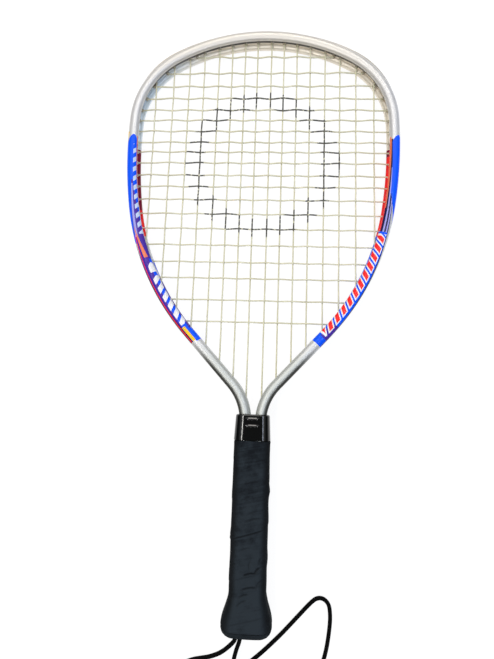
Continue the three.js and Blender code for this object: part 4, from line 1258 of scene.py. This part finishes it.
def black_braided_nylon(node, place, uv):
    # Round braid of black nylon yarn: dull black with small soft glints on the yarns that cross,
    # which are cut as a fine diagonal relief
    axes = node("SeparateXYZ", (uv,)).node.outputs
    around = node("Math.MULTIPLY", (axes["X"], BRAID_YARNS * math.pi))
    yarns = []
    for way in (1, -1):
        wound = node("Math.MULTIPLY_ADD", (axes["Y"], way * math.pi / BRAID_PITCH, around))
        yarns.append(node("Math.ABSOLUTE", (node("Math.COSINE", (wound,)),)))
    crest = node("Math.MAXIMUM", yarns)
    shown = node("Mix", {FACTOR: crest, UNDER: colour("#020202"), OVER: colour("#090909")}, **COLOURS)
    bumped = node("Bump", {"Strength": 0.6, "Distance": 0.15 * MM, "Height": crest})
    return {"Base Color": shown, "Roughness": 0.75, "Normal": bumped, "Specular IOR Level": 0.06}


def rigid_foam_shell(node, place, uv):
    # Rigid polyurethane foam with a moulded skin: matt dark grey, pitted by fine bubbles
    pits = node("TexVoronoi", {"Vector": place, "Scale": 1 / (0.9 * MM)})
    bumped = node("Bump", {"Strength": 0.5, "Distance": 0.1 * MM, "Height": pits})
    return {"Base Color": colour("#3A3A3A"), "Roughness": 0.85, "Normal": bumped}


def zinc_plated_wire(node, place, uv):
    # Zinc-plated steel wire: bright grey metal, slightly clouded
    cloud = node("TexNoise", {"Vector": place, "Scale": 1 / (1.5 * MM), "Detail": 3})
    rough = node("MapRange", (cloud, *ZINC_ROUGH))
    return {"Base Color": colour("#B4B6B8"), "Metallic": 1, "Roughness": rough}


# Camera, lights and floor

# Each lamp's name, place and aim and size in metres, watts, colour, and if polished parts mirror it
LAMPS = (
    ("left_strip", (-0.43, 0, 1.4), (0, 0, 0), (1.6, 0.06), 6.6, "#FFFDF9", True),
    ("right_strip", (0.44, 0, 1.4), (0, 0, 0), (1.6, 0.06), 4.2, "#E2ECFF", True),
    ("near_strip", (0, -0.62, 1.3), (0, 0, 0), (1.6, 0.1), 4.0, "#FFFFFF", True),
    ("far_strip", (0, 1.25, 1.25), (0, 0.2, 0), (0.9, 0.25), 5.0, "#FFFAF2", True),
    ("left_fill", (-1.2, 0.1, 0.55), (0, 0.1, 0), (0.9, 0.4), 4.4, "#FFF3DF", False),
    ("right_fill", (1.2, 0.1, 0.55), (0, 0.1, 0), (0.9, 0.4), 4.4, "#D2E4FF", False),
)

# How the studio's light changes with a ray's way: from and to, and its level at both
HIGH_LEVEL = (0.35, 0.78, 0.06, 0.82)
CEILING_LEVEL = (0.9, 0.965, 1, 0.1)
FAR_LEVEL = (-0.6, 0.15, 0.35, 1)
SIDE_LEVEL = (0.3, 0.65, 1, 0.15)
SIDE_SLANT = -0.35
BACKDROP_TOP = 0.08       # how high the backdrop stands in reflections, as the sine of its height
FLOOR_HALF = 4.0
FLOOR_LIFT = 0.885


def make_camera():
    data = bpy.data.cameras.new("photo_camera")
    data.lens = CAMERA_LENS
    camera = new_object("photo_camera", data)
    right = CAMERA_LOOK.cross(CAMERA_UP).normalized()
    up = right.cross(CAMERA_LOOK).normalized()
    turn = Matrix((right, up, -CAMERA_LOOK)).transposed().to_4x4()
    camera.matrix_world = Matrix.Translation(CAMERA_PLACE) @ turn
    bpy.context.scene.camera = camera


def make_lamp(name, place, aim, size, watts, code, mirrored):
    data = bpy.data.lights.new(name, "AREA")
    data.shape = "RECTANGLE"
    data.size, data.size_y = size
    data.energy = watts
    data.color = colour(code)[:3]
    lamp = new_object(name, data)
    lamp.visible_glossy = mirrored
    lamp.location = place
    lamp.rotation_euler = (Vector(aim) - Vector(place)).to_track_quat("-Z", "Y").to_euler()


def mirrored_rays(rays, node):
    return node("Math.MAXIMUM", (rays["Is Glossy Ray"], rays["Is Transmission Ray"]))


def make_world():
    """A soft studio that lights from high up, most from the far side, least from the sides and from
    straight above. The camera sees plain white, and so do polished parts low down."""
    world = bpy.data.worlds.new("studio")
    node = emptied(world)
    way = node("TexCoord", output="Object")
    axes = node("SeparateXYZ", (way,)).node.outputs
    sideways = node("Math.ABSOLUTE", (axes["X"],))
    slanted = node("Math.MULTIPLY_ADD", (axes["Y"], SIDE_SLANT, sideways))
    level = 1.0
    for followed, limits in (
        (axes["Z"], HIGH_LEVEL), (axes["Z"], CEILING_LEVEL), (axes["Y"], FAR_LEVEL), (slanted, SIDE_LEVEL),
    ):
        level = node("Math.MULTIPLY", (level, node("MapRange", (followed, *limits), **EASED)))
    light = node("Background", {"Color": colour("#FFFFFF"), "Strength": level})
    white = node("Background", {"Color": colour("#FFFFFF"), "Strength": 1})
    rays = node("LightPath").node.outputs
    low = node("Math.LESS_THAN", (axes["Z"], BACKDROP_TOP))
    backdrop = node("Math.MULTIPLY", (mirrored_rays(rays, node), low))
    seen = node("Math.MAXIMUM", (rays["Is Camera Ray"], backdrop))
    node("OutputWorld", (node("MixShader", (seen, light, white)),))
    bpy.context.scene.world = world


def make_floor():
    """A plain pale floor. It lights the racket as pale matt board does, and to the camera and in
    reflections it is white but for the racket's shadow."""
    material = bpy.data.materials.new("matt_white_floor")
    node = emptied(material)
    matt = node("BsdfDiffuse", {"Color": colour("#787879")})
    pale = node("BsdfDiffuse", {"Color": colour("#C6C5C2")})
    lift = node("Emission", {"Color": colour("#FFFFFF"), "Strength": FLOOR_LIFT})
    lifted = node("AddShader", (matt, lift))
    rays = node("LightPath").node.outputs
    seen = node("Math.MAXIMUM", (rays["Is Camera Ray"], mirrored_rays(rays, node)))
    node("OutputMaterial", {"Surface": node("MixShader", (seen, pale, lifted))})
    corners = [(x * FLOOR_HALF, y * FLOOR_HALF, 0) for x, y in ((-1, -1), (1, -1), (1, 1), (-1, 1))]
    mesh = bpy.data.meshes.new("floor")
    mesh.from_pydata(corners, [], [(0, 1, 2, 3)])
    mesh.materials.append(material)
    new_object("floor", mesh)


# Making everything

make_camera()
make_world()
for lamp in LAMPS:
    make_lamp(*lamp)
make_floor()

cord_mesh, cord_path = make_wrist_cord()
cross_pairs = [(-hole, hole) for hole in CROSS_HOLES]
pieces = {}
for name, mesh, replaced, slot, build in (
    ("braided_wrist_cord", cord_mesh, "wrist_cord", "cord", black_braided_nylon),
    ("wrist_cord_knot", make_knot(), "cord_knot", "cord", black_braided_nylon),
    ("frame_tube", make_frame(), "frame", "frame", clear_coated_metallic_paint),
    ("main_strings", make_string("main_strings", 0, MAIN_HOLES, HOLE_STAGGER, -1),
     "main_string", "strings", multifilament_nylon_string),
    ("cross_strings", make_string("cross_strings", 1, cross_pairs, -HOLE_STAGGER, 1),
     "cross_string", "strings", multifilament_nylon_string),
    ("gloss_collar", make_collar(), "throat_collar", "collar", gloss_black_moulding),
    ("wound_grip", make_grip_wrap(), "grip_wrap", "grip", charcoal_suede_wrap),
    ("flared_butt", make_butt_cap(), "butt_cap", "butt_cap", charcoal_butt_rubber),
):
    pieces[name] = new_object(name, mesh)
    mark_piece(pieces[name], replaced)
    mesh.materials.append(material_of(build))

barrels = barrel_tree()
bumper_last = BUMPER_END - STRIP_JOINT / 2
strip_first = BUMPER_END + STRIP_JOINT / 2
bumper = make_strip("nylon_bumper", -bumper_last, bumper_last, bumper_loop, barrels, natural_nylon_bumper)
mark_piece(bumper, "bumper_guard")
for side, first, last in (("left", -STRIP_END, -strip_first), ("right", strip_first, STRIP_END)):
    strip = make_strip("nylon_strip_" + side, first, last, strip_loop, barrels, natural_nylon_strip)
    mark_piece(strip, "grommet_strip_" + side)

for inside, build in (("handle_shell_", rigid_foam_shell), ("butt_staple_", zinc_plated_wire)):
    for face in ("front", "back"):
        bpy.data.objects[inside + face].material_slots[0].material = material_of(build)

bpy.context.scene.view_settings.view_transform = "Standard"
